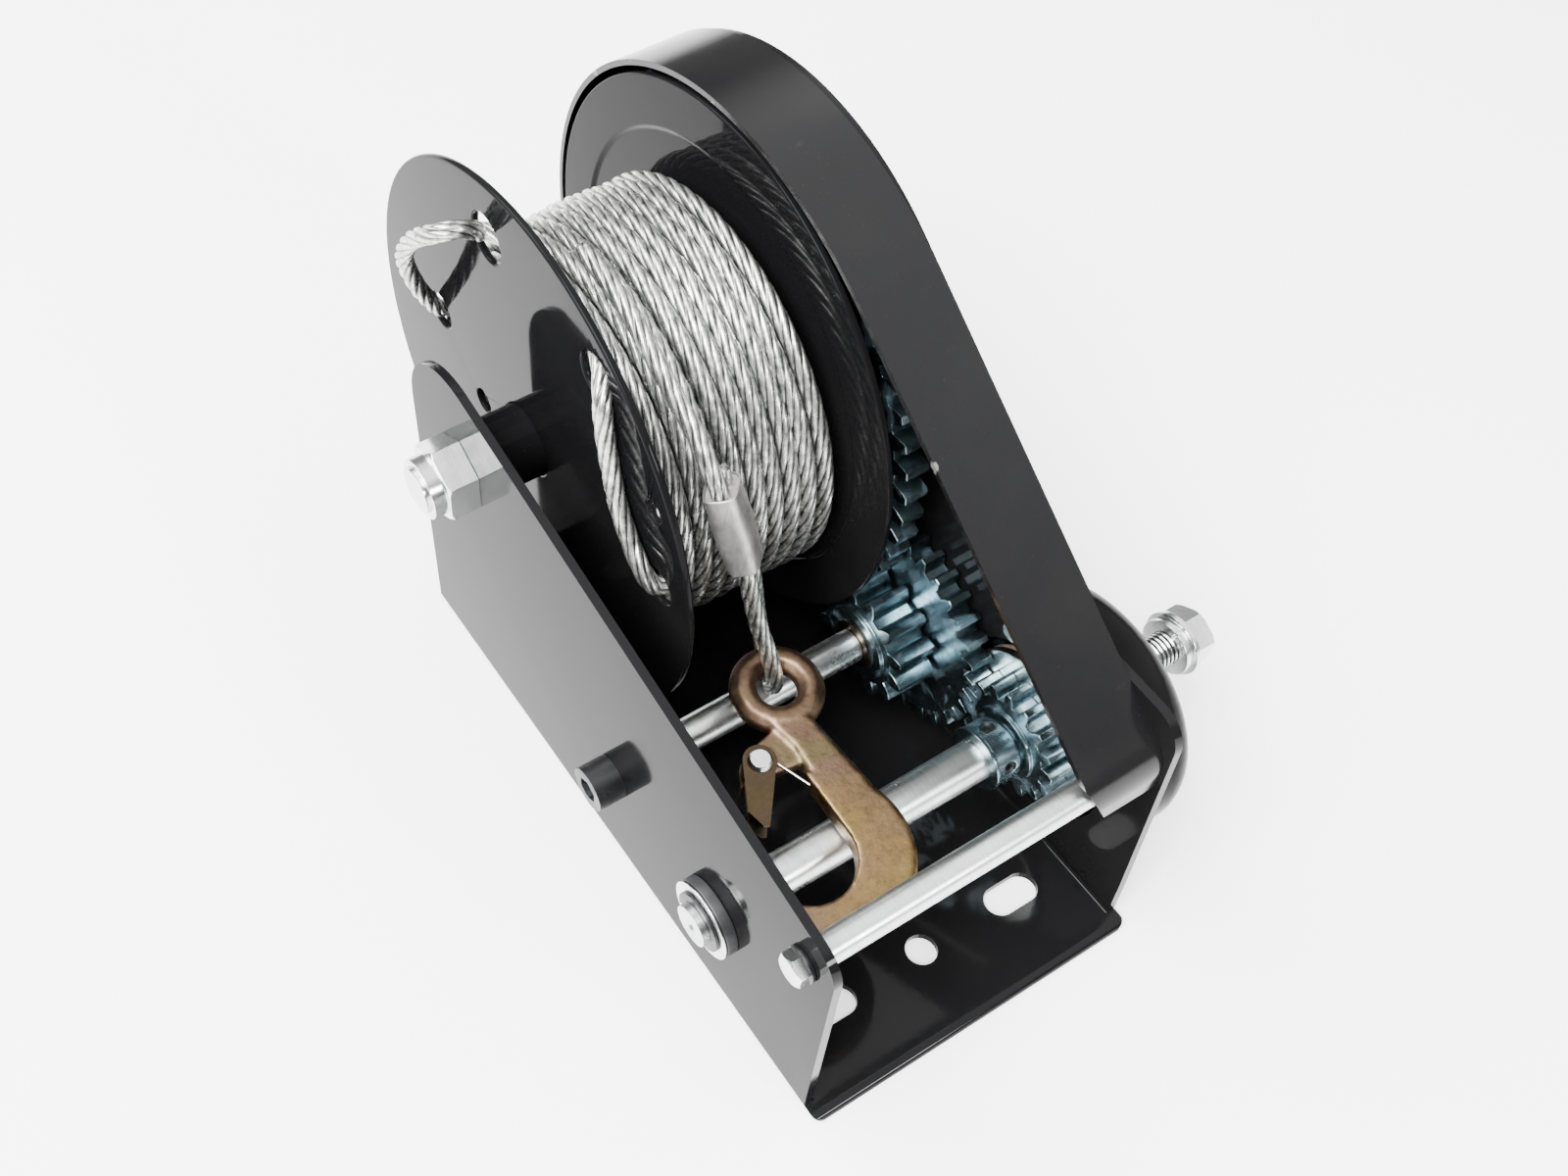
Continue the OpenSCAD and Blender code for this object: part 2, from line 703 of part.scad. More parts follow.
// The pawl's nose rests just outside the ratchet's tips
module pawl() color([0.4, 0.42, 0.45]) {
    nose = drive_c + polar(ratchet_r + 0.6, pawl_dir + 36);
    back = drive_c + polar(ratchet_r + 7, pawl_dir + 32);
    to_pin = pawl_c + polar(6, pawl_dir + 90 + 75);
    over_pin = pawl_c + polar(6, pawl_dir + 45);
    difference() {
        along_x(ratchet_x + 0.15, ratchet_w - 0.3) {
            polygon([to_pin, pawl_c, over_pin, back, nose]);
            translate(pawl_c) circle(6);
        }
        rod_x(pawl_c, ratchet_x - 1, ratchet_x + ratchet_w + 1, pawl_pin_r + RUN);
        rod_x(drive_c, ratchet_x - 1, ratchet_x + ratchet_w + 1, ratchet_r + 0.5);
    }
}

module pawl_spring() color([0.75, 0.75, 0.75]) {
    coil_r = pawl_pin_r + 1.2;
    leg_dir = pawl_dir + 28;
    leg = pawl_c + polar(coil_r - 0.5, leg_dir);
    tube_x(pawl_c, xr + 8, xr + 10.6, coil_r, pawl_pin_r + 0.15);
    translate([xr + 8.6, leg[0], leg[1]]) rotate([leg_dir + 90, 0, 0]) rotate([-90, 0, 0])
        cylinder(h = 15, r = 0.5);
}

// ---- rope tail and hook ----

hook_tilt = 5.6;
eye_c = [xl + 57.5, front + 106.6, 63.8];
rivet_at = [-21.4, -20.1];
shank_t = hook_t - 1;
lug_t = 5;

// From the winding down through the ferrule, round the hook's eye and back up
tail_route = [
    [-22.5, 80, 191.2], [-22, 68, 189.2], [-21.6, 57.5, 185.9], [-21.3, 43, 178],
    [-20.8, 33, 170.8], [-20, 24, 164.6], [-20.2, 16.5, 159], [-19.92, 8.52, 149.95],
    [-18.42, 5.72, 140.47], [-16.17, 1.52, 126.25], [-14.67, -1.28, 116.75], [-12, -2.4, 102],
    [-10.3, -5, 90], [-8.1, -8.5, 78], [-6.5, -11.15, 65], [-5.5, -8.8, 57.9], [-3.5, -3.5, 56.1],
    [-1.3, 2, 58.7], [-0.3, 5, 65.5], [-1.5, 5.4, 72], [-3.3, 5, 80], [-5.5, 4.2, 90],
    [-8, 3.3, 103], [-10.53, 3.28, 116.05], [-13.2, 8.2, 132.65], [-15.78, 13.08, 149.25],
    [-16.4, 14.2, 153]];

module rope_tail() color([0.7, 0.71, 0.7])
    rope_along(tail_route, 3, [1, 0, 0]);

// The pressed sleeve that holds the two legs of the loop together
module ferrule() color([0.8, 0.8, 0.8]) {
    length = 35;
    leg = 3.1;
    leg_wall_r = 3.9;
    belly_r = 6.9;
    translate([-12.6, 1, 116.4]) rotate([-16.26, -9, 0]) rotate([0, 0, 50]) difference() {
        union() {
            for (s = [-1, 1])
                translate([s * leg, 0, 0]) cylinder(h = length, r = leg_wall_r);
            rotate_extrude()
                polygon([[0, 0], [4.8, 0], [5.4, 1], [6.3, 7], [belly_r, 15], [belly_r, 20],
                         [6.4, 28], [5.7, length - 1], [5.2, length], [0, length]]);
        }
        for (s = [-1, 1])
            translate([s * leg, 0, -1]) cylinder(h = length + 2, r = rope_d / 2);
    }
}

module in_hook() {
    translate(eye_c) rotate([hook_tilt, 0, 0]) children();
}

module chamfered_disc(r, t, c = 1.5) {
    rotate_extrude($fn = 32)
        polygon([[0, -t / 2], [r - c, -t / 2], [r, -t / 2 + c], [r, t / 2 - c],
                 [r - c, t / 2], [0, t / 2]]);
}

module hook() color([0.72, 0.6, 0.42])
    in_hook() {
        bowl_c = [-27, -54];
        bowl_r = 16;
        back_c = [-20.5, -56];
        back_r = 28.5;
        tip = [-44.6, -38];
        difference() {
            union() {
                rotate_extrude()
                    polygon([[eye_hole_r, -1.5], [eye_hole_r + 3, -hook_t / 2], [eye_r - 3, -hook_t / 2],
                             [eye_r, -1.5], [eye_r, 1.5], [eye_r - 3, hook_t / 2],
                             [eye_hole_r + 3, hook_t / 2], [eye_hole_r, 1.5]]);
                difference() {
                    union() {
                        hull() {
                            translate([-2.5, -17, 0]) chamfered_disc(6, shank_t);
                            translate([-2.2, -52, 0]) chamfered_disc(9, shank_t);
                        }
                        hull() {
                            translate([-5, -10, 0]) chamfered_disc(6, shank_t);
                            translate([-2.5, -22, 0]) chamfered_disc(6, shank_t);
                        }
                        translate([back_c[0], back_c[1], 0]) rotate([0, 0, 180])
                            difference() {
                                chamfered_disc(back_r, shank_t);
                                translate([-back_r - 1, -back_r - 30, -10]) cube([2 * back_r + 2, 30, 20]);
                            }
                    }
                    translate([0, 0, -10]) cylinder(h = 20, r = eye_hole_r + 3);
                    translate([bowl_c[0], bowl_c[1], -10]) cylinder(h = 20, r = bowl_r);
                    translate([-43, bowl_c[1], -10]) cube([32, 45, 20]);
                    translate([-70, bowl_c[1] + 2, -10]) cube([30, 45, 20]);
                }
                hull() {
                    translate([-46, -55, 0]) chamfered_disc(3.2, shank_t - 1);
                    translate([tip[0], tip[1], 0]) chamfered_disc(3, shank_t - 2, 1);
                }
                translate([0, 0, -lug_t / 2]) linear_extrude(lug_t) {
                    polygon([[-6, -9], [-11, -12], [rivet_at[0] - 2, rivet_at[1] + 5],
                             [rivet_at[0] + 2, rivet_at[1] - 5], [-8, -27]]);
                    translate(rivet_at) circle(5.4);
                }
            }
            translate([rivet_at[0], rivet_at[1], -10]) cylinder(h = 20, r = 2.5);
        }
    }

module latch_rivet() color([0.75, 0.75, 0.72])
    in_hook() translate([rivet_at[0], rivet_at[1], 0]) {
        translate([0, 0, -6.6]) cylinder(h = 13.2, r = 2.5);
        for (s = [-1, 1])
            scale([1, 1, s]) translate([0, 0, 5.4]) cylinder(h = 1.4, r1 = 4.2, r2 = 3.2);
    }

// Two tapered cheeks beside the hook's lug, joined along the outer edge
module latch() color([0.74, 0.66, 0.4])
    in_hook() translate([rivet_at[0], rivet_at[1], 0]) rotate([0, 0, -119]) {
        cheek_in = 4.1;
        cheek_t = 1.2;
        reach = 22.5;
        difference() {
            union() {
                for (z = [cheek_in, -cheek_in - cheek_t])
                    translate([0, 0, z]) linear_extrude(cheek_t) {
                        circle(5.6);
                        polygon([[0, -5.6], [reach - 5, -5.4], [reach, -1], [reach, 1], [4, 4.6], [0, 5.6]]);
                    }
                translate([7, -5.6, -cheek_in - EPS]) cube([reach - 12, cheek_t, 2 * cheek_in + 2 * EPS]);
            }
            translate([0, 0, -10]) cylinder(h = 20, r = 2.5 + RUN);
        }
    }

module latch_spring() color([0.6, 0.62, 0.65])
    in_hook() translate([rivet_at[0], rivet_at[1], 2.7]) {
        difference() {
            cylinder(h = 1.2, r = 4);
            translate([0, 0, -1]) cylinder(h = 4, r = 2.6);
        }
        translate([0, 0, 0.6]) rotate([0, 90, -68]) translate([0, 3.4, 0])
            cylinder(h = 17, r = 0.5);
    }

frame_channel();
gear_guard();
brake_cup();
tie_rod();
tie_rod_bolts();
tie_rod_washers();
drum_axle();
axle_nut();
idler_bolt();
idler_sleeve();
idler_nut();
idler_snap_ring();
idler_washer();
drive_bush_left();
drive_bush_right();
pawl_pin();
pawl_clip();
hub_tube();
drum_barrel();
left_flange();
right_flange();
gear_hub_ring();
drum_gear();
rope_winding();
rope_anchor();
idler_pinion();
idler_gear();
drive_shaft();
drive_pinion();
shaft_collar();
set_screws();
shaft_washer();
shaft_clip();
brake_plate();
friction_discs();
brake_hub();
crank_bolt();
crank_spring_washer();
crank_washer();
ratchet_wheel();
pawl();
pawl_spring();
rope_tail();
ferrule();
hook();
latch_rivet();
latch();
latch_spring();
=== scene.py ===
"""Boat trailer winch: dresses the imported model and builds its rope, ferrule and hook.

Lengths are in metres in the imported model's own frame: +X is the crank side, -Y the
front, +Z up, and the origin is the centre of the base's bolt pattern.
"""

import logging
import math
import random
from dataclasses import dataclass
from enum import Enum
from functools import cache
from typing import Iterable, NamedTuple, Optional, Sequence

import bpy
from mathutils import Euler, Matrix, Vector


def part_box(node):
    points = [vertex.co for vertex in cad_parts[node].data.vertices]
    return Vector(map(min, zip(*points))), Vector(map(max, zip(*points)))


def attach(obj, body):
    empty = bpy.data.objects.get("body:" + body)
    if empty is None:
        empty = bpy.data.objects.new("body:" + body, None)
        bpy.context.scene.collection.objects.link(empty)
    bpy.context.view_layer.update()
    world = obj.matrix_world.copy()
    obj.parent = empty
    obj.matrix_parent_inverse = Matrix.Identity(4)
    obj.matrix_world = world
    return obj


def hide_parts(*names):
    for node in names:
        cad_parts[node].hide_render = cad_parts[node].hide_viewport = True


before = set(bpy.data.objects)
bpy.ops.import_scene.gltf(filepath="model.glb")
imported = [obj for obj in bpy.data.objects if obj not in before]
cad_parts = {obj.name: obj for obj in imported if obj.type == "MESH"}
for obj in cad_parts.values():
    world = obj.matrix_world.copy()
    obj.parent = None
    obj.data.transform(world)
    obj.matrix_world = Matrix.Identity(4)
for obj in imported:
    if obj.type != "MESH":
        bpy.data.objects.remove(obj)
LOG = logging.getLogger("winch")
MM = 0.001
WELD_GAP = 1e-6
EDGE_ANGLE = 38.0
SMOOTH_ANGLE = 32.0
Triple = tuple[float, float, float]
Socket = bpy.types.NodeSocket


# ---------------------------------------------------------------- node materials

class Coords(Enum):
    """Which texture coordinates a pattern follows."""

    OBJECT = "Object"
    UV = "UV"


class Graph:
    """A small builder for one node material."""

    def __init__(self, name: str) -> None:
        """Starts a material with a Principled shader.

        Args:
            name: The material's name.
        """
        self.material = bpy.data.materials.new(name)
        self.material.use_nodes = True
        self.tree = self.material.node_tree
        self.shader = next(n for n in self.tree.nodes if n.type == "BSDF_PRINCIPLED")
        self._coords = self.tree.nodes.new("ShaderNodeTexCoord")

    def put(self, socket: Socket, value: object) -> None:
        """Links or sets one input.

        Args:
            socket: The input.
            value: A socket to link, a constant to set, or None to leave it as it is.
        """
        if isinstance(value, Socket):
            self.tree.links.new(value, socket)
        elif value is not None:
            socket.default_value = value

    def set(self, **values: object) -> None:
        """Sets the shader's inputs, named with underscores for spaces."""
        for name, value in values.items():
            self.put(self.shader.inputs[name.replace("_", " ")], value)

    def add(self, kind: str, inputs: dict, out: int = 0, **settings: object) -> Socket:
        """Adds a node.

        Args:
            kind: The node's type without its ShaderNode prefix.
            inputs: Socket name or number to a value or a socket.
            out: The number of the output wanted.
            **settings: The node's own settings.

        Returns:
            The output socket.
        """
        node = self.tree.nodes.new("ShaderNode" + kind)
        for name, value in settings.items():
            setattr(node, name, value)
        for key, value in inputs.items():
            self.put(node.inputs[key], value)
        return node.outputs[out]

    def along(self, axis: str, coords: Coords = Coords.OBJECT) -> Socket:
        """Returns the coordinate along one axis, which is X, Y or Z."""
        return self.add("SeparateXYZ", {0: self._coords.outputs[coords.value]},
                        out="XYZ".index(axis))

    def noise(self, scale: float, detail: float = 3.0, rough: float = 0.55,
              stretch: Triple = (1.0, 1.0, 1.0), distort: float = 0.0) -> Socket:
        """Adds a noise pattern that follows the object.

        Args:
            scale: Patches in a metre.
            detail: Number of finer layers.
            rough: Weight of the finer layers.
            stretch: Factors on the coordinates along X, Y and Z.
            distort: How far the pattern is pulled about.

        Returns:
            The noise value, round 0.5.
        """
        place = self.add("Mapping", {"Vector": self._coords.outputs["Object"],
                                     "Scale": stretch})
        return self.add("TexNoise", {"Vector": place, "Scale": scale, "Detail": detail,
                                     "Roughness": rough, "Distortion": distort})

    def math(self, operation: str, a: object, b: object = 0.0) -> Socket:
        """Returns the result of a Math node."""
        return self.add("Math", {0: a, 1: b}, operation=operation)

    def ramp(self, value: Socket, low: float, high: float,
             to_low: float = 0.0, to_high: float = 1.0) -> Socket:
        """Maps low..high of a value to to_low..to_high, held at both ends."""
        return self.add("MapRange", {"Value": value, "From Min": low, "From Max": high,
                                     "To Min": to_low, "To Max": to_high})

    def blend(self, factor: object, a: object, b: object) -> Socket:
        """Mixes two colours.

        Args:
            factor: The second colour's share.
            a: The first colour, as a triple or a socket.
            b: The second colour, as a triple or a socket.

        Returns:
            The mixed colour.
        """
        a, b = ((*c, 1.0) if isinstance(c, tuple) else c for c in (a, b))
        return self.add("Mix", {0: factor, 6: a, 7: b}, out=2, data_type="RGBA")

    def stops(self, value: Socket, colours: Sequence[tuple[float, Triple]]) -> Socket:
        """Maps a value through a colour ramp.

        Args:
            value: The value.
            colours: Each stop's place and colour.

        Returns:
            The colour.
        """
        node = self.tree.nodes.new("ShaderNodeValToRGB")
        self.put(node.inputs[0], value)
        elements = node.color_ramp.elements
        while len(elements) < len(colours):
            elements.new(0.5)
        for element, (place, colour) in zip(elements, colours):
            element.position = place
            element.color = (*colour, 1.0)
        return node.outputs[0]

    def bump(self, *layers: tuple[Socket, float, float]) -> None:
        """Stacks bump layers.

        Args:
            *layers: Each layer's height, strength and depth in metres.
        """
        normal = None
        for height, strength, depth in layers:
            normal = self.add("Bump", {"Height": height, "Strength": strength,
                                       "Distance": depth, "Normal": normal})
        self.set(Normal=normal)


# ---------------------------------------------------------------- finishes

@dataclass(frozen=True)
class BlackCoat:
    """Glossy black coating on pressed steel, with dust, faint scuffs and orange peel.

    To the left of chip_below_x it is chipped here and there down to the steel.
    """

    name: str = "black_coat"
    colour: Triple = (0.0035, 0.0035, 0.0038)
    dusty: Triple = (0.030, 0.029, 0.028)
    steel: Triple = (0.13, 0.13, 0.12)
    dust: float = 0.2
    gloss: float = 0.05
    ior: float = 1.08
    peel: float = 0.05
    chip_below_x: Optional[float] = None

    def make(self) -> bpy.types.Material:
        """Builds the finish.

        Returns:
            Its node material.
        """
        g = Graph(self.name)
        dust = g.math("MULTIPLY", g.ramp(g.noise(9, 4), 0.45, 0.8), self.dust)
        speck = g.ramp(g.noise(900, 2), 0.70, 0.75, 0.0, self.dust)
        scuff = g.ramp(g.noise(50, 6, 0.7, (1.0, 3.0, 1.0), 0.5), 0.66, 0.76, 0.0, self.dust)
        colour = g.blend(g.math("MAXIMUM", dust, g.math("MAXIMUM", speck, scuff)),
                         self.colour, self.dusty)
        rough = g.math("ADD", g.ramp(g.noise(28, 5), 0.35, 0.8, self.gloss, self.gloss + 0.07),
                       g.math("MULTIPLY", scuff, 0.4))
        metal: object = 0.0
        if self.chip_below_x is not None:
            ragged = g.math("ADD", g.along("X"),
                            g.ramp(g.noise(300, 4), 0.35, 0.75, 0.0006, -0.0009))
            chip = g.ramp(ragged, self.chip_below_x, self.chip_below_x - 0.0002)
            chip = g.math("MULTIPLY", chip, g.ramp(g.noise(75, 3), 0.64, 0.68))
            colour = g.blend(chip, colour, self.steel)
            metal = g.math("MULTIPLY", chip, 0.5)
        g.set(Base_Color=colour, Roughness=rough, Metallic=metal, IOR=self.ior)
        g.bump((g.noise(420, 2), self.peel, 0.0001), (g.noise(30, 2), 0.04, 0.0006))
        return g.material


@dataclass(frozen=True)
class PlatedSteel:
    """Zinc-plated steel, with turning marks round the shaft's axis and dull patches.

    A thread of the given pitch is cut round X, over thread_span, as a bump whose roots are
    painted dark as shade.
    """

    name: str = "zinc_plate"
    light: Triple = (0.76, 0.78, 0.76)
    dark: Triple = (0.42, 0.44, 0.43)
    # Colour of the thread's roots: painted shade.
    thread_root_shade: Triple = (0.04, 0.04, 0.04)
    gloss: float = 0.17
    marks: float = 0.25
    stretch: Triple = (6.0, 0.4, 0.4)
    thread: float = 0.0
    thread_span: tuple[float, float] = (0.0, 0.0)

    def make(self) -> bpy.types.Material:
        """Builds the finish.

        Returns:
            Its node material.
        """
        g = Graph(self.name)
        patch = g.noise(70, 5, 0.6)
        lines = g.noise(260, 3, 0.6, self.stretch)
        shade = g.math("ADD", g.ramp(patch, 0.35, 0.7, 0.0, 0.65),
                       g.ramp(lines, 0.3, 0.75, 0.0, 0.35))
        colour = g.blend(shade, self.light, self.dark)
        rough = g.ramp(patch, 0.3, 0.7, self.gloss, self.gloss + 0.12)
        layers = [(lines, self.marks, 0.00006), (g.noise(1500, 2), 0.25, 0.00003)]
        if self.thread:
            station = g.along("X")
            inside = g.math("MULTIPLY", g.math("GREATER_THAN", station, self.thread_span[0]),
                            g.math("LESS_THAN", station, self.thread_span[1]))
            turns = g.math("FRACT", g.math("MULTIPLY", station, 1 / self.thread))
            ridge = g.math("MULTIPLY", inside, g.math("ABSOLUTE", g.math("SUBTRACT", turns, 0.5)))
            # Painted shade: the thread's roots are darkened towards the root colour.
            thread_root_shade = g.math("MULTIPLY", inside, g.ramp(ridge, 0.12, 0.3, 0.85, 0.0))
            colour = g.blend(thread_root_shade, colour, self.thread_root_shade)
            layers.insert(0, (ridge, 0.9, 0.001))
        g.set(Base_Color=colour, Metallic=1.0, Roughness=rough)
        g.bump(*layers)
        return g.material


@dataclass(frozen=True)
class GearZinc:
    """Blue-white zinc on cut teeth, with dark machining streaks and smears of blue grease."""

    name: str = "gear_zinc"
    bright: Triple = (0.20, 0.28, 0.31)
    shadow: Triple = (0.07, 0.10, 0.11)
    grease: Triple = (0.008, 0.050, 0.095)
    greasy: float = 0.5

    def make(self) -> bpy.types.Material:
        """Builds the finish.

        Returns:
            Its node material.
        """
        g = Graph(self.name)
        patch = g.noise(130, 5, 0.65, distort=0.3)
        streak = g.noise(420, 3, 0.6, (0.3, 1.0, 1.0))
        metal_colour = g.blend(g.ramp(patch, 0.42, 0.70), self.bright, self.shadow)
        metal_colour = g.blend(g.ramp(streak, 0.55, 0.72, 0.0, 0.6), metal_colour, self.shadow)
        smear = g.math("MULTIPLY", g.ramp(g.noise(75, 3, 0.5, distort=0.6), 0.54, 0.66),
                       self.greasy)
        colour = g.blend(smear, metal_colour, self.grease)
        metallic = g.ramp(smear, 0.0, 1.0, 1.0, 0.25)
        rough = g.ramp(smear, 0.0, 0.6, 0.27, 0.16)
        g.set(Base_Color=colour, Metallic=metallic, Roughness=rough)
        g.bump((streak, 0.25, 0.00006), (g.noise(150, 2), 0.1, 0.0001))
        return g.material


@dataclass(frozen=True)
class YellowChromate:
    """Iridescent yellow chromate on a rough forging: gold, rose and a little green.

    It turns to gold towards the hook's tip, which is a span of Y. Dark patches of dirt lie on it
    at random; a shade above zero also paints shade, mixing about that share of the dark colour in
    all over.
    """

    name: str = "yellow_chromate"
    rough: float = 0.4
    grain: float = 0.5
    # shade: painted shade, the share of the dark colour kept all over. The dark colour below is
    # dirt on the hook and painted shade on the sheet.
    shade: float = 0.0
    dirt_and_shade: Triple = (0.06, 0.042, 0.027)
    tip: tuple[float, float] = (-0.092, -0.078)
    tints: tuple[tuple[float, Triple], ...] = (
        (0.25, (0.17, 0.13, 0.035)), (0.38, (0.155, 0.10, 0.045)), (0.48, (0.15, 0.10, 0.06)),
        (0.58, (0.145, 0.09, 0.062)), (0.72, (0.125, 0.10, 0.05)))

    def make(self) -> bpy.types.Material:
        """Builds the finish.

        Returns:
            Its node material.
        """
        g = Graph(self.name)
        drift = g.math("ADD", g.noise(30, 3, 0.5, distort=0.5),
                       g.ramp(g.along("Y"), *self.tip, -0.12, 0.0))
        # Random dirt patches; a shade above zero lifts the mix to about that share all over,
        # which is painted shade.
        soot_and_shade = g.ramp(g.noise(420, 6, 0.75), 0.46, 0.72, self.shade, 0.7)
        g.set(Base_Color=g.blend(soot_and_shade, g.stops(drift, self.tints), self.dirt_and_shade), Metallic=1.0)
        g.set(Roughness=g.ramp(g.noise(180, 4), 0.3, 0.7, self.rough - 0.08, self.rough + 0.12))
        g.bump((g.noise(620, 4, 0.65), self.grain, 0.00022), (g.noise(90, 2), 0.25, 0.0006))
        return g.material


@dataclass(frozen=True)
class BlackOxide:
    """Blackened steel, thinly oiled."""

    name: str = "black_oxide"
    colour: Triple = (0.012, 0.012, 0.013)
    rub: Triple = (0.07, 0.07, 0.075)

    def make(self) -> bpy.types.Material:
        """Builds the finish.

        Returns:
            Its node material.
        """
        g = Graph(self.name)
        wear = g.ramp(g.noise(210, 5, 0.65), 0.56, 0.72, 0.0, 0.5)
        g.set(Base_Color=g.blend(wear, self.colour, self.rub), Metallic=0.7)
        g.set(Roughness=g.ramp(g.noise(90, 4), 0.3, 0.7, 0.3, 0.5))
        g.bump((g.noise(900, 3), 0.25, 0.00006))
        return g.material


@dataclass(frozen=True)
class Moulding:
    """Black nylon of a bush, with a fine moulded grain."""

    name: str = "bush_nylon"
    colour: Triple = (0.010, 0.010, 0.011)
    worn: Triple = (0.04, 0.04, 0.042)
    rough: float = 0.42

    def make(self) -> bpy.types.Material:
        """Builds the finish.

        Returns:
            Its node material.
        """
        g = Graph(self.name)
        scuff = g.ramp(g.noise(160, 4), 0.55, 0.75, 0.0, 0.4)
        g.set(Base_Color=g.blend(scuff, self.colour, self.worn))
        g.set(Roughness=g.ramp(g.noise(60, 3), 0.3, 0.7, self.rough - 0.08, self.rough + 0.1))
        g.bump((g.noise(1300, 2), 0.2, 0.00005))
        return g.material


@dataclass(frozen=True)
class FrictionLining:
    """Moulded brake lining, brown with brass flecks."""

    name: str = "friction_lining"
    dark: Triple = (0.05, 0.035, 0.028)
    light: Triple = (0.13, 0.09, 0.065)
    brass: Triple = (0.5, 0.36, 0.16)

    def make(self) -> bpy.types.Material:
        """Builds the finish.

        Returns:
            Its node material.
        """
        g = Graph(self.name)
        fleck = g.ramp(g.noise(1400, 2), 0.66, 0.7)
        colour = g.blend(g.noise(300, 4), self.dark, self.light)
        g.set(Base_Color=g.blend(fleck, colour, self.brass), Roughness=0.8)
        g.bump((g.noise(800, 4), 0.5, 0.0001))
        return g.material


@dataclass(frozen=True)
class PressedAluminium:
    """Soft aluminium with die lines along its length."""

    name: str = "pressed_aluminium"
    light: Triple = (0.46, 0.45, 0.44)
    dull: Triple = (0.24, 0.23, 0.22)
    scored: Triple = (0.12, 0.115, 0.11)

    def make(self) -> bpy.types.Material:
        """Builds the finish.

        Returns:
            Its node material.
        """
        g = Graph(self.name)
        lines = g.noise(700, 3, 0.6, (1.0, 1.0, 0.12))
        colour = g.blend(g.ramp(g.noise(140, 4), 0.3, 0.7), self.light, self.dull)
        g.set(Base_Color=g.blend(g.ramp(lines, 0.5, 0.7, 0.0, 0.6), colour, self.scored),
              Metallic=0.9, Roughness=g.ramp(lines, 0.3, 0.7, 0.36, 0.56))
        g.bump((lines, 0.45, 0.0001), (g.noise(900, 3), 0.3, 0.00005))
        return g.material


@dataclass(frozen=True)
class StrandedWire:
    """Galvanised wires; the valleys between the strands and the lines between the wires are
    painted dark as shade, so each strand's crown reads bright.

    The mesh's U grows by one for each strand and its V along the rope in metres.
    """

    name: str = "rope_wire"
    wires: int = 4
    wire_lay: float = 0.009
    light: Triple = (0.70, 0.71, 0.68)
    dark: Triple = (0.15, 0.158, 0.147)
    # Near black: painted shade in the strands' valleys and between the wires.
    soot_and_shade: Triple = (0.010, 0.010, 0.009)

    def make(self) -> bpy.types.Material:
        """Builds the finish.

        Returns:
            Its node material.
        """
        g = Graph(self.name)
        across, along = g.along("X", Coords.UV), g.along("Y", Coords.UV)
        side = g.math("ABSOLUTE", g.math("SUBTRACT", g.math("FRACT", across), 0.5))
        valley_shade = g.ramp(side, 0.5, 0.30)
        turns = g.math("SUBTRACT", g.math("MULTIPLY", across, float(self.wires)),
                       g.math("DIVIDE", along, self.wire_lay))
        wave = g.math("ABSOLUTE", g.math("SINE", g.math("MULTIPLY", turns, math.pi)))
        wire = g.ramp(wave, 0.0, 0.5, 0.5, 1.0)
        tone = g.noise(300, 4, 0.6)
        metal = g.blend(g.ramp(tone, 0.38, 0.68), self.light, self.dark)
        metal = g.blend(g.ramp(g.noise(22, 3), 0.48, 0.75, 0.0, 0.45), metal, self.dark)
        # Painted shade: the lines between the wires go halfway to near black.
        metal = g.blend(wire, self.soot_and_shade, metal)
        # Painted shade: the valleys between the strands go to near black.
        g.set(Base_Color=g.blend(valley_shade, self.soot_and_shade, metal), Metallic=0.92)
        g.set(Roughness=g.ramp(tone, 0.3, 0.7, 0.24, 0.36))
        g.bump((wave, 0.25, 0.0001), (g.noise(1200, 2), 0.15, 0.00003))
        return g.material


class Finish(Enum):
    """Every finish on the winch."""

    COAT = BlackCoat()
    # The same black paint as COAT; this copy, on the channel's faces that don't look along X,
    # reflects more and carries less dust, so those faces render lighter than the walls: painted
    # light.
    BASE = BlackCoat(name="black_coat_base", dust=0.07, gloss=0.06, ior=1.2, peel=0.12)
    GUARD = BlackCoat(name="black_coat_guard", dust=0.14, gloss=0.14, ior=1.28,
                      chip_below_x=0.0338)
    FLANGE = BlackCoat(name="black_coat_gloss", dust=0.15, gloss=0.03, ior=1.1, peel=0.02)
    ZINC = PlatedSteel()
    BRIGHT = PlatedSteel(name="bright_shaft", light=(0.74, 0.76, 0.75), dark=(0.36, 0.38, 0.37),
                         gloss=0.24, marks=0.35)
    GEAR = GearZinc()
    DRY_GEAR = GearZinc(name="dry_gear_zinc", greasy=0.2)
    YELLOW = YellowChromate()
    # Latch and snap ring: shade 0.8 with a near-black colour paints them dark as shade.
    YELLOW_SHEET = YellowChromate(name="yellow_chromate_sheet", rough=0.28, grain=0.15,
                                  shade=0.8, dirt_and_shade=(0.022, 0.019, 0.012))
    OXIDE = BlackOxide()
    NYLON = Moulding()
    LINING = FrictionLining()
    ALUMINIUM = PressedAluminium()
    WIRE = StrandedWire()
    SPRING = PlatedSteel(name="spring_wire", gloss=0.2, marks=0.1)
    THREADED = PlatedSteel(name="threaded_bolt", thread=0.00175, thread_span=(0.0975, 0.1226))


@cache
def paint(finish: Finish) -> bpy.types.Material:
    """Returns a finish's material, which is made once."""
    return finish.value.make()


# ---------------------------------------------------------------- mesh helpers

def link(name: str, data: bpy.types.ID) -> bpy.types.Object:
    """Makes an object and links it to the scene.

    Args:
        name: The object's name.
        data: Its mesh, lamp or camera.

    Returns:
        The object.
    """
    thing = bpy.data.objects.new(name, data)
    bpy.context.scene.collection.objects.link(thing)
    return thing


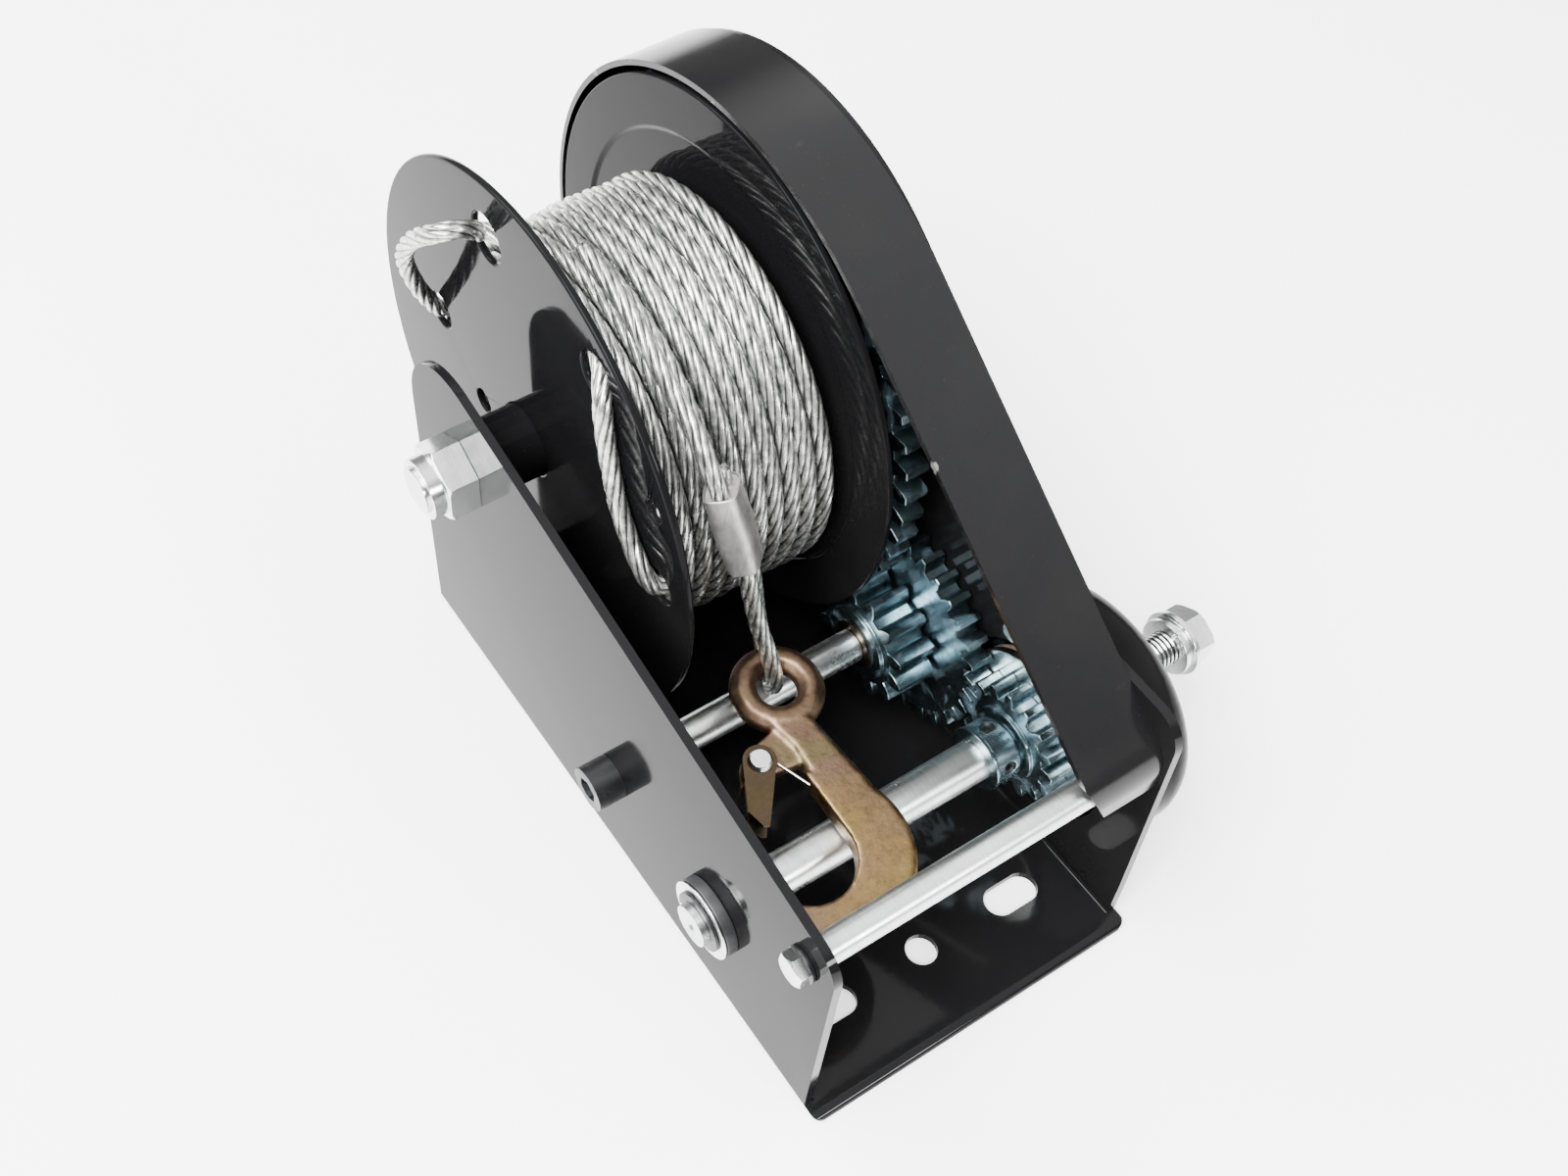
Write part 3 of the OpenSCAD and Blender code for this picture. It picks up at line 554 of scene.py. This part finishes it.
def tube_faces(rings: int, sides: int) -> list[tuple[int, ...]]:
    """Lists the faces of a closed tube whose points run ring after ring.

    Args:
        rings: Number of rings.
        sides: Points in each ring.

    Returns:
        The faces as point numbers: the walls in order, then the two ends.
    """
    faces = [(i * sides + j, i * sides + (j + 1) % sides,
              (i + 1) * sides + (j + 1) % sides, (i + 1) * sides + j)
             for i in range(rings - 1) for j in range(sides)]
    return faces + [tuple(range(sides - 1, -1, -1)),
                    tuple((rings - 1) * sides + j for j in range(sides))]


def tube(name: str, verts: Iterable[Vector], sides: int, finish: Finish) -> bpy.types.Object:
    """Makes a closed, smooth-shaded tube.

    Args:
        name: The piece's name.
        verts: Its points, ring after ring.
        sides: Points in each ring.
        finish: Its finish.

    Returns:
        The object, linked to the scene.
    """
    points = [tuple(v) for v in verts]
    mesh = bpy.data.meshes.new(name)
    mesh.from_pydata(points, [], tube_faces(len(points) // sides, sides))
    mesh.update()
    mesh.shade_smooth()
    mesh.materials.append(paint(finish))
    return link(name, mesh)


def smooth_by_angle(piece: bpy.types.Object, degrees: float = SMOOTH_ANGLE) -> None:
    """Adds a modifier that shades smooth but keeps sharp edges.

    Args:
        piece: The object.
        degrees: The least angle of an edge that stays sharp.
    """
    name = f"smooth_{degrees:g}"
    group = bpy.data.node_groups.get(name)
    if group is None:
        group = bpy.data.node_groups.new(name, "GeometryNodeTree")
        for way in ("INPUT", "OUTPUT"):
            group.interface.new_socket("Geometry", in_out=way, socket_type="NodeSocketGeometry")
        source, target, faces, edges, angle, compare = (group.nodes.new(kind) for kind in (
            "NodeGroupInput", "NodeGroupOutput", "GeometryNodeSetShadeSmooth",
            "GeometryNodeSetShadeSmooth", "GeometryNodeInputMeshEdgeAngle",
            "FunctionNodeCompare"))
        edges.domain = "EDGE"
        compare.data_type = "FLOAT"
        compare.operation = "LESS_THAN"
        compare.inputs[1].default_value = math.radians(degrees)
        group.links.new(angle.outputs[0], compare.inputs[0])
        group.links.new(source.outputs[0], faces.inputs[0])
        group.links.new(faces.outputs[0], edges.inputs[0])
        group.links.new(compare.outputs[0], edges.inputs["Shade Smooth"])
        group.links.new(edges.outputs[0], target.inputs[0])
    modifier = piece.modifiers.new("smooth", "NODES")
    modifier.node_group = group


def coat(mesh: bpy.types.Mesh, finish: Finish) -> None:
    """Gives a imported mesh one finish, and drops the normals it came with.

    Args:
        mesh: The mesh.
        finish: Its finish.
    """
    if "custom_normal" in mesh.attributes:
        mesh.attributes.remove(mesh.attributes["custom_normal"])
    mesh.materials.clear()
    mesh.materials.append(paint(finish))


def dress(node: str, finish: Finish, edge: float, segments: int) -> bpy.types.Object:
    """Gives a carried-over node its finish and small rounded edges.

    Args:
        node: The node's name.
        finish: Its finish.
        edge: Width of the rounding, or 0 for none.
        segments: Faces across the rounding.

    Returns:
        The node's object.
    """
    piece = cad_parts[node]
    coat(piece.data, finish)
    weld = piece.modifiers.new("weld", "WELD")
    weld.merge_threshold = WELD_GAP
    if edge > 0:
        bevel = piece.modifiers.new("edge", "BEVEL")
        bevel.width = edge
        bevel.segments = segments
        bevel.limit_method = "ANGLE"
        bevel.angle_limit = math.radians(EDGE_ANGLE)
        bevel.use_clamp_overlap = True
    smooth_by_angle(piece)
    flats = piece.modifiers.new("flats", "WEIGHTED_NORMAL")
    flats.keep_sharp = True
    return piece


def face_finish(piece: bpy.types.Object, finish: Finish, limit: float = 0.5) -> None:
    """Gives the faces that don't look along X another finish, a copy of the same paint that
    differs only in how bright it renders: painted light.

    Args:
        piece: The dressed node.
        finish: The other finish.
        limit: The largest share of X in such a face's direction.
    """
    mesh = piece.data
    mesh.materials.append(paint(finish))
    for polygon in mesh.polygons:
        if abs(polygon.normal.x) < limit:
            polygon.material_index = 1


def node_centre(node: str) -> Vector:
    """Returns the middle of a node's box."""
    low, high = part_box(node)
    return (low + high) / 2


def spline(points: Sequence[Vector], spacing: float, fineness: int = 16) -> list[Vector]:
    """Draws a smooth line through the points, with even steps.

    Args:
        points: The route's points.
        spacing: The step wanted between the line's points.
        fineness: Points of the first, uneven line for each of the route's.

    Returns:
        The line's points, the two ends included.
    """
    fine: list[Vector] = []
    last = len(points) - 1
    for i in range(last):
        a, b, c, d = (points[max(i - 1, 0)], points[i], points[i + 1], points[min(i + 2, last)])
        for k in range(fineness):
            t = k / fineness
            fine.append(0.5 * (2 * b + (c - a) * t + (2 * a - 5 * b + 4 * c - d) * t * t
                               + (3 * b - a - 3 * c + d) * t ** 3))
    fine.append(points[-1])
    return resample(fine, spacing)


def resample(line: Sequence[Vector], spacing: float) -> list[Vector]:
    """Spaces points evenly along a line.

    Args:
        line: The line's own points.
        spacing: The step wanted.

    Returns:
        The new points, the two ends included.
    """
    lengths = [0.0]
    for a, b in zip(line, line[1:]):
        lengths.append(lengths[-1] + (b - a).length)
    count = max(2, round(lengths[-1] / spacing) + 1)
    out, j = [], 0
    for i in range(count):
        want = lengths[-1] * i / (count - 1)
        while j < len(lengths) - 2 and lengths[j + 1] < want:
            j += 1
        span = lengths[j + 1] - lengths[j] or 1.0
        out.append(line[j].lerp(line[j + 1], (want - lengths[j]) / span))
    return out


# ---------------------------------------------------------------- rope

@dataclass(frozen=True)
class Rope:
    """A wire rope: strands laid round a core, swept along a line."""

    radius: float = 3.0 * MM
    strands: int = 6
    per_strand: int = 6
    lay: float = 50.0 * MM
    valley: float = 0.72

    def _profile(self) -> list[tuple[float, float]]:
        """Lays out the section, with the valleys between its strands.

        Returns:
            Each point's angle and radius.
        """
        half = 180 / self.strands
        points = []
        for strand in range(self.strands):
            for k in range(self.per_strand):
                share = 2 * k / self.per_strand - 1
                bulge = self.valley + (1 - self.valley) * math.sqrt(1 - share * share)
                angle = math.radians(2 * half * strand + half * share)
                points.append((angle, self.radius * bulge))
        return points

    def sweep(self, name: str, line: Sequence[Vector], first: Vector) -> bpy.types.Object:
        """Sweeps the rope's section along a line, twisting as it goes.

        Args:
            name: The piece's name.
            line: The rope's centre line.
            first: A direction that is roughly across the line's start.

        Returns:
            The rope's object, with UVs for StrandedWire.
        """
        profile = self._profile()
        sides = len(profile)
        verts: list[Vector] = []
        along: list[float] = []
        across = first
        travelled = 0.0
        for i, point in enumerate(line):
            tangent = (line[min(i + 1, len(line) - 1)] - line[max(i - 1, 0)]).normalized()
            across = (across - tangent * across.dot(tangent)).normalized()
            other = tangent.cross(across)
            if i:
                travelled += (point - line[i - 1]).length
            twist = 2 * math.pi * travelled / self.lay
            for a, r in profile:
                verts.append(point + (across * math.cos(a + twist)
                                      + other * math.sin(a + twist)) * r)
            along.append(travelled)
        piece = tube(name, verts, sides, Finish.WIRE)
        uv = piece.data.uv_layers.new(name="UVMap")
        for f in range((len(line) - 1) * sides):
            polygon = piece.data.polygons[f]
            ring, side = divmod(f, sides)
            corners = ((side, ring), (side + 1, ring), (side + 1, ring + 1), (side, ring + 1))
            for loop, (u, v) in zip(polygon.loop_indices, corners):
                uv.data[loop].uv = (u / self.per_strand, along[v])
        return piece


# ---------------------------------------------------------------- sub-assemblies

class Dressing(NamedTuple):
    """A carried-over node's finish, and the width and fineness of its rounded edges."""

    node: str
    finish: Finish
    edge: float = 0.4 * MM
    segments: int = 2


@dataclass
class SubAssembly:
    """A group of the winch's pieces that is built and dressed together."""

    dressings: tuple[Dressing, ...] = ()

    def dress_nodes(self) -> list[bpy.types.Object]:
        """Dresses the group's carried-over nodes.

        Returns:
            Their objects, in the order of the dressings.
        """
        pieces = [dress(*dressing) for dressing in self.dressings]
        self.report(*pieces)
        return pieces

    def report(self, *pieces: bpy.types.Object) -> None:
        """Logs each piece that was made or dressed."""
        for piece in pieces:
            LOG.info("%s: %s", type(self).__name__, piece.name)


class Lamp(NamedTuple):
    """One square soft box."""

    name: str
    place: Triple
    size: float
    power: float


@dataclass
class Studio(SubAssembly):
    """Pale floor, soft lights and the camera."""

    lens: float = 39.24
    sensor: float = 36.0
    near: float = 0.01
    shift: tuple[float, float] = (0.126, 0.0221)
    eye: Triple = (-0.2152, -0.2436, 0.5370)
    turn: Triple = (2.443, -0.701, 0.202)
    floor_size: float = 60.0
    floor_tones: tuple[Triple, Triple] = ((0.84, 0.84, 0.84), (0.88, 0.88, 0.88))
    floor_glow: float = 0.5
    room: float = 0.28
    box: float = 3.0
    box_aim: Triple = (0.62, 0.0, 0.78)
    box_edge: tuple[float, float] = (0.62, 0.90)
    lit_point: Triple = (0.0, 0.02, 0.08)
    lamps: tuple[Lamp, ...] = (
        Lamp("key", (-1.3, -0.4, 2.2), 1.9, 430.0),
        Lamp("rear", (-0.8, 1.5, 2.0), 1.5, 150.0),
        Lamp("edge", (0.5, -1.7, 1.0), 0.35, 30.0))

    def build(self) -> None:
        """Makes the whole studio."""
        self._floor()
        self._room()
        self._lamps()
        self._camera()

    def _floor(self) -> None:
        """Makes the plain pale floor."""
        half = self.floor_size / 2
        mesh = bpy.data.meshes.new("floor")
        mesh.from_pydata([(-half, -half, 0), (half, -half, 0), (half, half, 0), (-half, half, 0)],
                         [], [(0, 1, 2, 3)])
        floor = link("floor", mesh)
        g = Graph("floor_pale")
        g.set(Base_Color=g.blend(g.noise(2, 2), *self.floor_tones), Roughness=0.9,
              Emission_Color=(1.0, 1.0, 1.0, 1.0), Emission_Strength=self.floor_glow)
        mesh.materials.append(g.material)

    def _room(self) -> None:
        """Makes the dim surroundings, with one broad glow that fades at its edge."""
        world = bpy.data.worlds.new("studio")
        bpy.context.scene.world = world
        world.use_nodes = True
        tree = world.node_tree
        coords = tree.nodes.new("ShaderNodeTexCoord")
        facing = tree.nodes.new("ShaderNodeVectorMath")
        facing.operation = "DOT_PRODUCT"
        facing.inputs[1].default_value = Vector(self.box_aim).normalized()
        glow = tree.nodes.new("ShaderNodeMapRange")
        glow.interpolation_type = "SMOOTHSTEP"
        for name, value in zip(("From Min", "From Max", "To Min", "To Max"),
                               (*self.box_edge, self.room, self.box)):
            glow.inputs[name].default_value = value
        back = tree.nodes["Background"]
        back.inputs[0].default_value = (1.0, 1.0, 1.0, 1.0)
        tree.links.new(coords.outputs["Generated"], facing.inputs[0])
        tree.links.new(facing.outputs["Value"], glow.inputs["Value"])
        tree.links.new(glow.outputs[0], back.inputs[1])

    def _lamps(self) -> None:
        """Makes the soft boxes, all turned to the lit point."""
        for lamp in self.lamps:
            light = bpy.data.lights.new(lamp.name, "AREA")
            light.size = lamp.size
            light.energy = lamp.power
            holder = link(lamp.name, light)
            holder.location = lamp.place
            aim = Vector(self.lit_point) - holder.location
            holder.rotation_euler = aim.to_track_quat("-Z", "Y").to_euler()

    def _camera(self) -> None:
        """Places the camera from its position and its turn vector."""
        data = bpy.data.cameras.new("camera")
        data.lens = self.lens
        data.sensor_width = self.sensor
        data.shift_x, data.shift_y = self.shift
        data.clip_start = self.near
        camera = link("camera", data)
        angle = Vector(self.turn).length
        to_camera = Matrix.Rotation(angle, 3, Vector(self.turn) / angle)
        to_world = to_camera.transposed()
        right, down, ahead = (to_world @ Vector(v) for v in ((1, 0, 0), (0, 1, 0), (0, 0, 1)))
        basis = Matrix((right, -down, -ahead)).transposed().to_4x4()
        camera.matrix_world = Matrix.Translation(Vector(self.eye)) @ basis
        bpy.context.scene.camera = camera
        self.report(camera)


@dataclass
class Chassis(SubAssembly):
    """The folded channel, its guard, the brake cup and the fixed fasteners."""

    dressings: tuple[Dressing, ...] = (
        Dressing("drum_axle", Finish.ZINC, 0.6 * MM),
        Dressing("frame_channel", Finish.COAT, 0.7 * MM, 3),
        Dressing("gear_guard", Finish.GUARD, 0.5 * MM),
        Dressing("brake_cup", Finish.COAT),
        Dressing("tie_rod", Finish.BRIGHT, 0.3 * MM),
        Dressing("tie_rod_bolts", Finish.ZINC),
        Dressing("tie_rod_washers", Finish.OXIDE, 0.3 * MM),
        Dressing("axle_nut", Finish.ZINC, 0.3 * MM),
        Dressing("idler_bolt", Finish.OXIDE, 0.6 * MM, 3),
        Dressing("idler_sleeve", Finish.BRIGHT, 0.3 * MM),
        Dressing("idler_nut", Finish.ZINC, 0.5 * MM),
        Dressing("idler_snap_ring", Finish.YELLOW_SHEET, 0.1 * MM),
        Dressing("idler_washer", Finish.ZINC, 0.1 * MM),
        Dressing("drive_bush_left", Finish.NYLON, 0.5 * MM),
        Dressing("drive_bush_right", Finish.NYLON, 0.5 * MM),
        Dressing("pawl_pin", Finish.ZINC, 0.3 * MM),
        Dressing("pawl_clip", Finish.OXIDE, 0.1 * MM),
        Dressing("pawl_spring", Finish.SPRING, 0.0),
    )

    def build(self) -> None:
        """Dresses the frame's nodes, and gives the channel's base and rims a glossier, less dusty
        copy of its black coat as painted light.
        """
        self.dress_nodes()
        face_finish(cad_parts["frame_channel"], Finish.BASE)


@dataclass
class DriveLine(SubAssembly):
    """Intermediate cluster, drive shaft, brake stack and the crank's bolt."""

    dressings: tuple[Dressing, ...] = (
        Dressing("crank_bolt", Finish.THREADED),
        Dressing("idler_pinion", Finish.GEAR, 0.5 * MM),
        Dressing("idler_gear", Finish.GEAR),
        Dressing("drum_gear", Finish.GEAR),
        Dressing("drive_pinion", Finish.GEAR),
        Dressing("drive_shaft", Finish.BRIGHT, 0.5 * MM),
        Dressing("shaft_collar", Finish.DRY_GEAR),
        Dressing("set_screws", Finish.OXIDE, 0.2 * MM),
        Dressing("shaft_washer", Finish.ZINC, 0.2 * MM),
        Dressing("shaft_clip", Finish.OXIDE, 0.2 * MM),
        Dressing("brake_plate", Finish.ZINC),
        Dressing("friction_discs", Finish.LINING, 0.2 * MM),
        Dressing("brake_hub", Finish.DRY_GEAR, 0.5 * MM),
        Dressing("crank_spring_washer", Finish.ZINC, 0.3 * MM),
        Dressing("crank_washer", Finish.ZINC, 0.3 * MM),
        Dressing("ratchet_wheel", Finish.DRY_GEAR, 0.3 * MM),
        Dressing("pawl", Finish.DRY_GEAR, 0.3 * MM),
    )

    def build(self) -> None:
        """Dresses the geared shafts."""
        self.dress_nodes()


@dataclass
class Drum(SubAssembly):
    """Flanges, hub and the wound rope, which lies heavier to the front.

    Each turn of the rope strays sideways and outwards between its knots.
    """

    dressings: tuple[Dressing, ...] = (
        Dressing("hub_tube", Finish.COAT),
        Dressing("drum_barrel", Finish.COAT, 0.0),
        Dressing("left_flange", Finish.FLANGE, 0.9 * MM, 3),
        Dressing("right_flange", Finish.FLANGE, 0.7 * MM, 3),
        Dressing("gear_hub_ring", Finish.COAT),
    )
    rope: Rope = Rope()
    inner_rope: Rope = Rope(per_strand=2)
    wraps: int = 10
    knots: int = 3
    crown: float = 4.0 * MM
    top_radius: float = 67.7 * MM
    offset: float = 6.0 * MM
    layer_step: float = 5.0 * MM
    side_gap: float = 0.3 * MM
    inner_gap: float = 0.6
    top_spacing: float = 2.0 * MM
    inner_spacing: float = 4.0 * MM
    top_wander: float = 0.6 * MM
    inner_wander: float = 0.3 * MM
    lift: tuple[float, float] = (-0.8 * MM, 0.3 * MM)
    core_rings: int = 44
    core_sides: int = 96
    core_gap: float = 0.1 * MM
    core_depth: float = 10.0 * MM
    core_wave: float = 2.4 * MM
    core_pitch: float = 6.2 * MM
    lacing_spacing: float = 1.4 * MM
    lacing: tuple[Triple, ...] = (
        (5.5, 72, 184), (5, 76, 178), (2.5, 79.5, 174), (-1, 79.8, 172.8),
        (-3.6, 78.5, 168.5), (-3.6, 73, 162), (-3.6, 70.8, 152), (-3.6, 73.7, 143),
        (-3.6, 78.7, 135), (-3.3, 84.5, 129.5), (-0.8, 86.3, 125), (2.2, 85.5, 121),
        (5.8, 81, 114.5), (6, 76, 104), (6, 74.2, 90), (5, 75.3, 80), (1.5, 76.8, 75),
        (-0.5, 77, 74.5), (-3.5, 80.5, 77), (-9, 83.6, 78), (-14.5, 83, 75.5),
        (-16.2, 77, 64.5), (-16, 70.8, 53), (-13, 65.5, 42), (-8.5, 60, 30),
        (-3, 58.5, 18), (0.5, 59, 11.5), (5, 58.5, 9))
    seed: int = 7

    def build(self) -> None:
        """Dresses the drum and winds its rope."""
        self.dress_nodes()
        self._wind()
        self._lace()

    def _axis(self) -> Vector:
        """Returns the drum's centre."""
        return node_centre("hub_tube")

    def _crowned(self, radius: float, u: float) -> float:
        """Returns a layer's radius at the share u of the way across."""
        return radius - self.crown * min(2 * u - 1, 0.0) ** 2

    def _round(self, x: float, radius: float, angle: float) -> Vector:
        """Places a point of the winding, which lies round its own middle.

        Args:
            x: Where it is along the drum.
            radius: Its distance from the winding's middle.
            angle: Its angle from the rear, in radians.

        Returns:
            The point.
        """
        axis = self._axis()
        return Vector((x, axis.y - self.offset + radius * math.cos(angle),
                       axis.z + radius * math.sin(angle)))

    def _coil(self, radius: float, start_x: float, end_x: float,
              spacing: float, wander: float, rng: random.Random) -> list[Vector]:
        """Lays out the centre line of one layer of wraps.

        Args:
            radius: Radius of the right-hand turns.
            start_x: Where the first turn lies.
            end_x: Where the last turn lies.
            spacing: Step between points.
            wander: How far a turn strays sideways.
            rng: Source of the turns' small differences.

        Returns:
            The centre line's points.
        """
        count = self.wraps * self.knots + 2
        side = [rng.uniform(-wander, wander) for _ in range(count)]
        lift = [rng.uniform(*self.lift) for _ in range(count)]
        steps = round(2 * math.pi * radius * self.wraps / spacing)
        line = []
        for i in range(steps + 1):
            turn = self.wraps * i / steps
            whole, t = divmod(turn * self.knots, 1)
            k = int(whole)
            ease = t * t * (3 - 2 * t)
            stray = side[k] + (side[k + 1] - side[k]) * ease
            rise = lift[k] + (lift[k + 1] - lift[k]) * ease
            x = start_x + (end_x - start_x) * turn / self.wraps + stray
            u = (x - start_x) / (end_x - start_x)
            line.append(self._round(x, self._crowned(radius, u) + rise, 2 * math.pi * turn))
        return line

    def _wind(self) -> None:
        """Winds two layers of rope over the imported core."""
        low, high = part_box("rope_winding")
        rng = random.Random(self.seed)
        inset = self.rope.radius + self.side_gap
        top = self._coil(self.top_radius, low.x + inset, high.x - inset,
                         self.top_spacing, self.top_wander, rng)
        winding = self.rope.sweep("winding_top", top, Vector((1, 0, 0)))
        half = 0.5 * (high.x - low.x - 2 * inset) / self.wraps
        under = self._coil(self.top_radius - self.layer_step,
                           low.x + inset + half * self.inner_gap,
                           high.x - inset - half * self.inner_gap,
                           self.inner_spacing, self.inner_wander, rng)
        lower = self.inner_rope.sweep("winding_under", under, Vector((1, 0, 0)))
        core = self._core(low.x + self.core_gap, high.x - self.core_gap)
        for piece in (winding, lower, core):
            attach(piece, "drum")
        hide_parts("rope_winding")
        self.report(winding, lower, core)

    def _core(self, x0: float, x1: float) -> bpy.types.Object:
        """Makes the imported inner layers, ringed like the rope above them.

        Args:
            x0: The left end.
            x1: The right end.

        Returns:
            The core's object.
        """
        rings, sides = self.core_rings, self.core_sides
        verts = []
        for i in range(rings + 1):
            x = x0 + (x1 - x0) * i / rings
            wave = abs(math.sin(math.pi * (x - x0) / self.core_pitch))
            radius = self._crowned(
                self.top_radius - self.core_depth + self.core_wave * wave, i / rings)
            verts += [self._round(x, radius, 2 * math.pi * j / sides) for j in range(sides)]
        return tube("winding_core", verts, sides, Finish.WIRE)

    def _lace(self) -> None:
        """Makes the rope's end that is laced through the left flange.

        Its route is given by the distance in from the flange's outer face, the distance
        from the axis, both in millimetres, and the angle from the rear in degrees.
        """
        axis = self._axis()
        outer_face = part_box("left_flange")[0].x
        points = [Vector((outer_face + x * MM,
                          axis.y + r * MM * math.cos(math.radians(a)),
                          axis.z + r * MM * math.sin(math.radians(a))))
                  for x, r, a in self.lacing]
        line = spline(points, self.lacing_spacing)
        piece = self.rope.sweep("flange_lacing", line, Vector((0, 0, 1)))
        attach(piece, "drum")
        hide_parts("rope_anchor")
        self.report(piece)


@dataclass
class RopeEnd(SubAssembly):
    """The rope's free tail, its ferrule, and the safety hook.

    The route and the ferrule are in millimetres, and the turns in degrees.
    """

    dressings: tuple[Dressing, ...] = (
        Dressing("latch", Finish.YELLOW_SHEET, 0.3 * MM),
        Dressing("latch_rivet", Finish.ZINC, 0.6 * MM, 3),
        Dressing("latch_spring", Finish.SPRING, 0.0),
    )
    rope: Rope = Rope()
    ferrule_foot: Triple = (-12.6, 1.0, 116.4)
    ferrule_turn: Triple = (-16.26, -9.0, 0.0)
    ferrule_roll: float = 50.0
    ferrule_length: float = 35.0
    ferrule_sides: int = 48
    ferrule_corner: float = 0.55
    ferrule_smooth: float = 50.0
    ferrule_stations: tuple[Triple, ...] = (
        (0.12, 5.2, 3.6), (0.10, 6.2, 4.6), (0.105, 6.5, 5.0), (0.13, 6.65, 5.3),
        (0.25, 6.75, 5.5), (0.42, 6.8, 5.9), (0.55, 6.8, 5.95), (0.72, 6.75, 5.7),
        (0.88, 6.75, 5.4), (0.97, 6.8, 5.5), (0.995, 6.7, 5.4), (1.0, 6.4, 5.1),
        (0.98, 6.1, 4.7))
    tail_spacing: float = 1.5 * MM
    tail_route: tuple[Triple, ...] = (
        (-22.5, 80, 191.2), (-22, 68, 189.2), (-21.6, 57.5, 185.9), (-21.3, 43, 178),
        (-20.8, 33, 170.8), (-20, 24, 164.6), (-20.2, 16.5, 159), (-19.92, 8.52, 149.95),
        (-18.42, 5.72, 140.47), (-16.17, 1.52, 126.25), (-14.67, -1.28, 116.75),
        (-12, -2.4, 102), (-10.3, -5, 90), (-8.1, -8.5, 78), (-6.5, -11.15, 65),
        (-5.5, -8.8, 57.9), (-3.5, -3.5, 56.1), (-1.3, 2, 58.7), (-0.3, 5, 65.5),
        (-1.5, 5.4, 72), (-3.3, 5, 80), (-5.5, 4.2, 90), (-8, 3.3, 103),
        (-10.53, 3.28, 116.05), (-13.2, 8.2, 132.65), (-15.78, 13.08, 149.25),
        (-16.4, 14.2, 153))
    forging_grain: float = 0.55 * MM
    forging_rounds: int = 14
    forging_flow: float = 0.6

    def build(self) -> None:
        """Makes the hook and the ferrule, then the rope that carries them."""
        hook = self._hook()
        fittings = self.dress_nodes()
        ferrule = self._ferrule()
        tail = self._tail([ferrule, hook, *fittings])
        self.report(tail, ferrule, hook)

    def _tail(self, carried: list[bpy.types.Object]) -> bpy.types.Object:
        """Makes the rope from the winding to the hook's eye and back to the ferrule.

        Args:
            carried: The pieces that hang on it; not used.

        Returns:
            The rope's object.
        """
        points = [Vector(p) * MM for p in self.tail_route]
        line = spline(points, self.tail_spacing)
        tail = self.rope.sweep("rope_tail_wire", line, Vector((1, 0, 0)))
        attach(tail, "frame")
        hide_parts("rope_tail")
        return tail

    def _ferrule(self) -> bpy.types.Object:
        """Lofts the pressed sleeve: an oval with a belly, flats and rolled lips.

        Each station gives its share of the length, its half width and its half depth.

        Returns:
            The sleeve's object.
        """
        turn = (Euler([math.radians(a) for a in self.ferrule_turn]).to_matrix().to_4x4()
                @ Matrix.Rotation(math.radians(self.ferrule_roll), 4, "Z"))
        place = Matrix.Translation(Vector(self.ferrule_foot) * MM) @ turn
        verts = []
        for along, wide, thick in self.ferrule_stations:
            for j in range(self.ferrule_sides):
                a = 2 * math.pi * j / self.ferrule_sides
                c, s = math.cos(a), math.sin(a)
                verts.append(place @ Vector((
                    math.copysign(abs(c) ** self.ferrule_corner, c) * wide * MM,
                    math.copysign(abs(s) ** self.ferrule_corner, s) * thick * MM,
                    along * self.ferrule_length * MM)))
        piece = tube("ferrule_sleeve", verts, self.ferrule_sides, Finish.ALUMINIUM)
        smooth_by_angle(piece, self.ferrule_smooth)
        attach(piece, "frame")
        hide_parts("ferrule")
        return piece

    def _hook(self) -> bpy.types.Object:
        """Makes the forging: the hook's solid with its edges flowed round.

        Returns:
            The hook's object.
        """
        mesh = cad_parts["hook"].data.copy()
        mesh.name = "hook_forging"
        coat(mesh, Finish.YELLOW)
        piece = link("hook_forging", mesh)
        for kind, settings in (
                ("WELD", {"merge_threshold": WELD_GAP}),
                ("REMESH", {"mode": "VOXEL", "voxel_size": self.forging_grain}),
                ("SMOOTH", {"iterations": self.forging_rounds, "factor": self.forging_flow})):
            modifier = piece.modifiers.new(kind.lower(), kind)
            for name, value in settings.items():
                setattr(modifier, name, value)
        graph = bpy.context.evaluated_depsgraph_get()
        flowed = bpy.data.meshes.new_from_object(piece.evaluated_get(graph))
        piece.modifiers.clear()
        piece.data = flowed
        flowed.shade_smooth()
        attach(piece, "hook")
        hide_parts("hook")
        return piece


def main() -> None:
    """Builds every sub-assembly in order."""
    logging.basicConfig(level=logging.INFO, format="%(name)s: %(message)s")
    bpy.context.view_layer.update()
    for part in (Studio(), RopeEnd(), Chassis(), DriveLine(), Drum()):
        part.build()


if __name__ == "__main__":
    main()
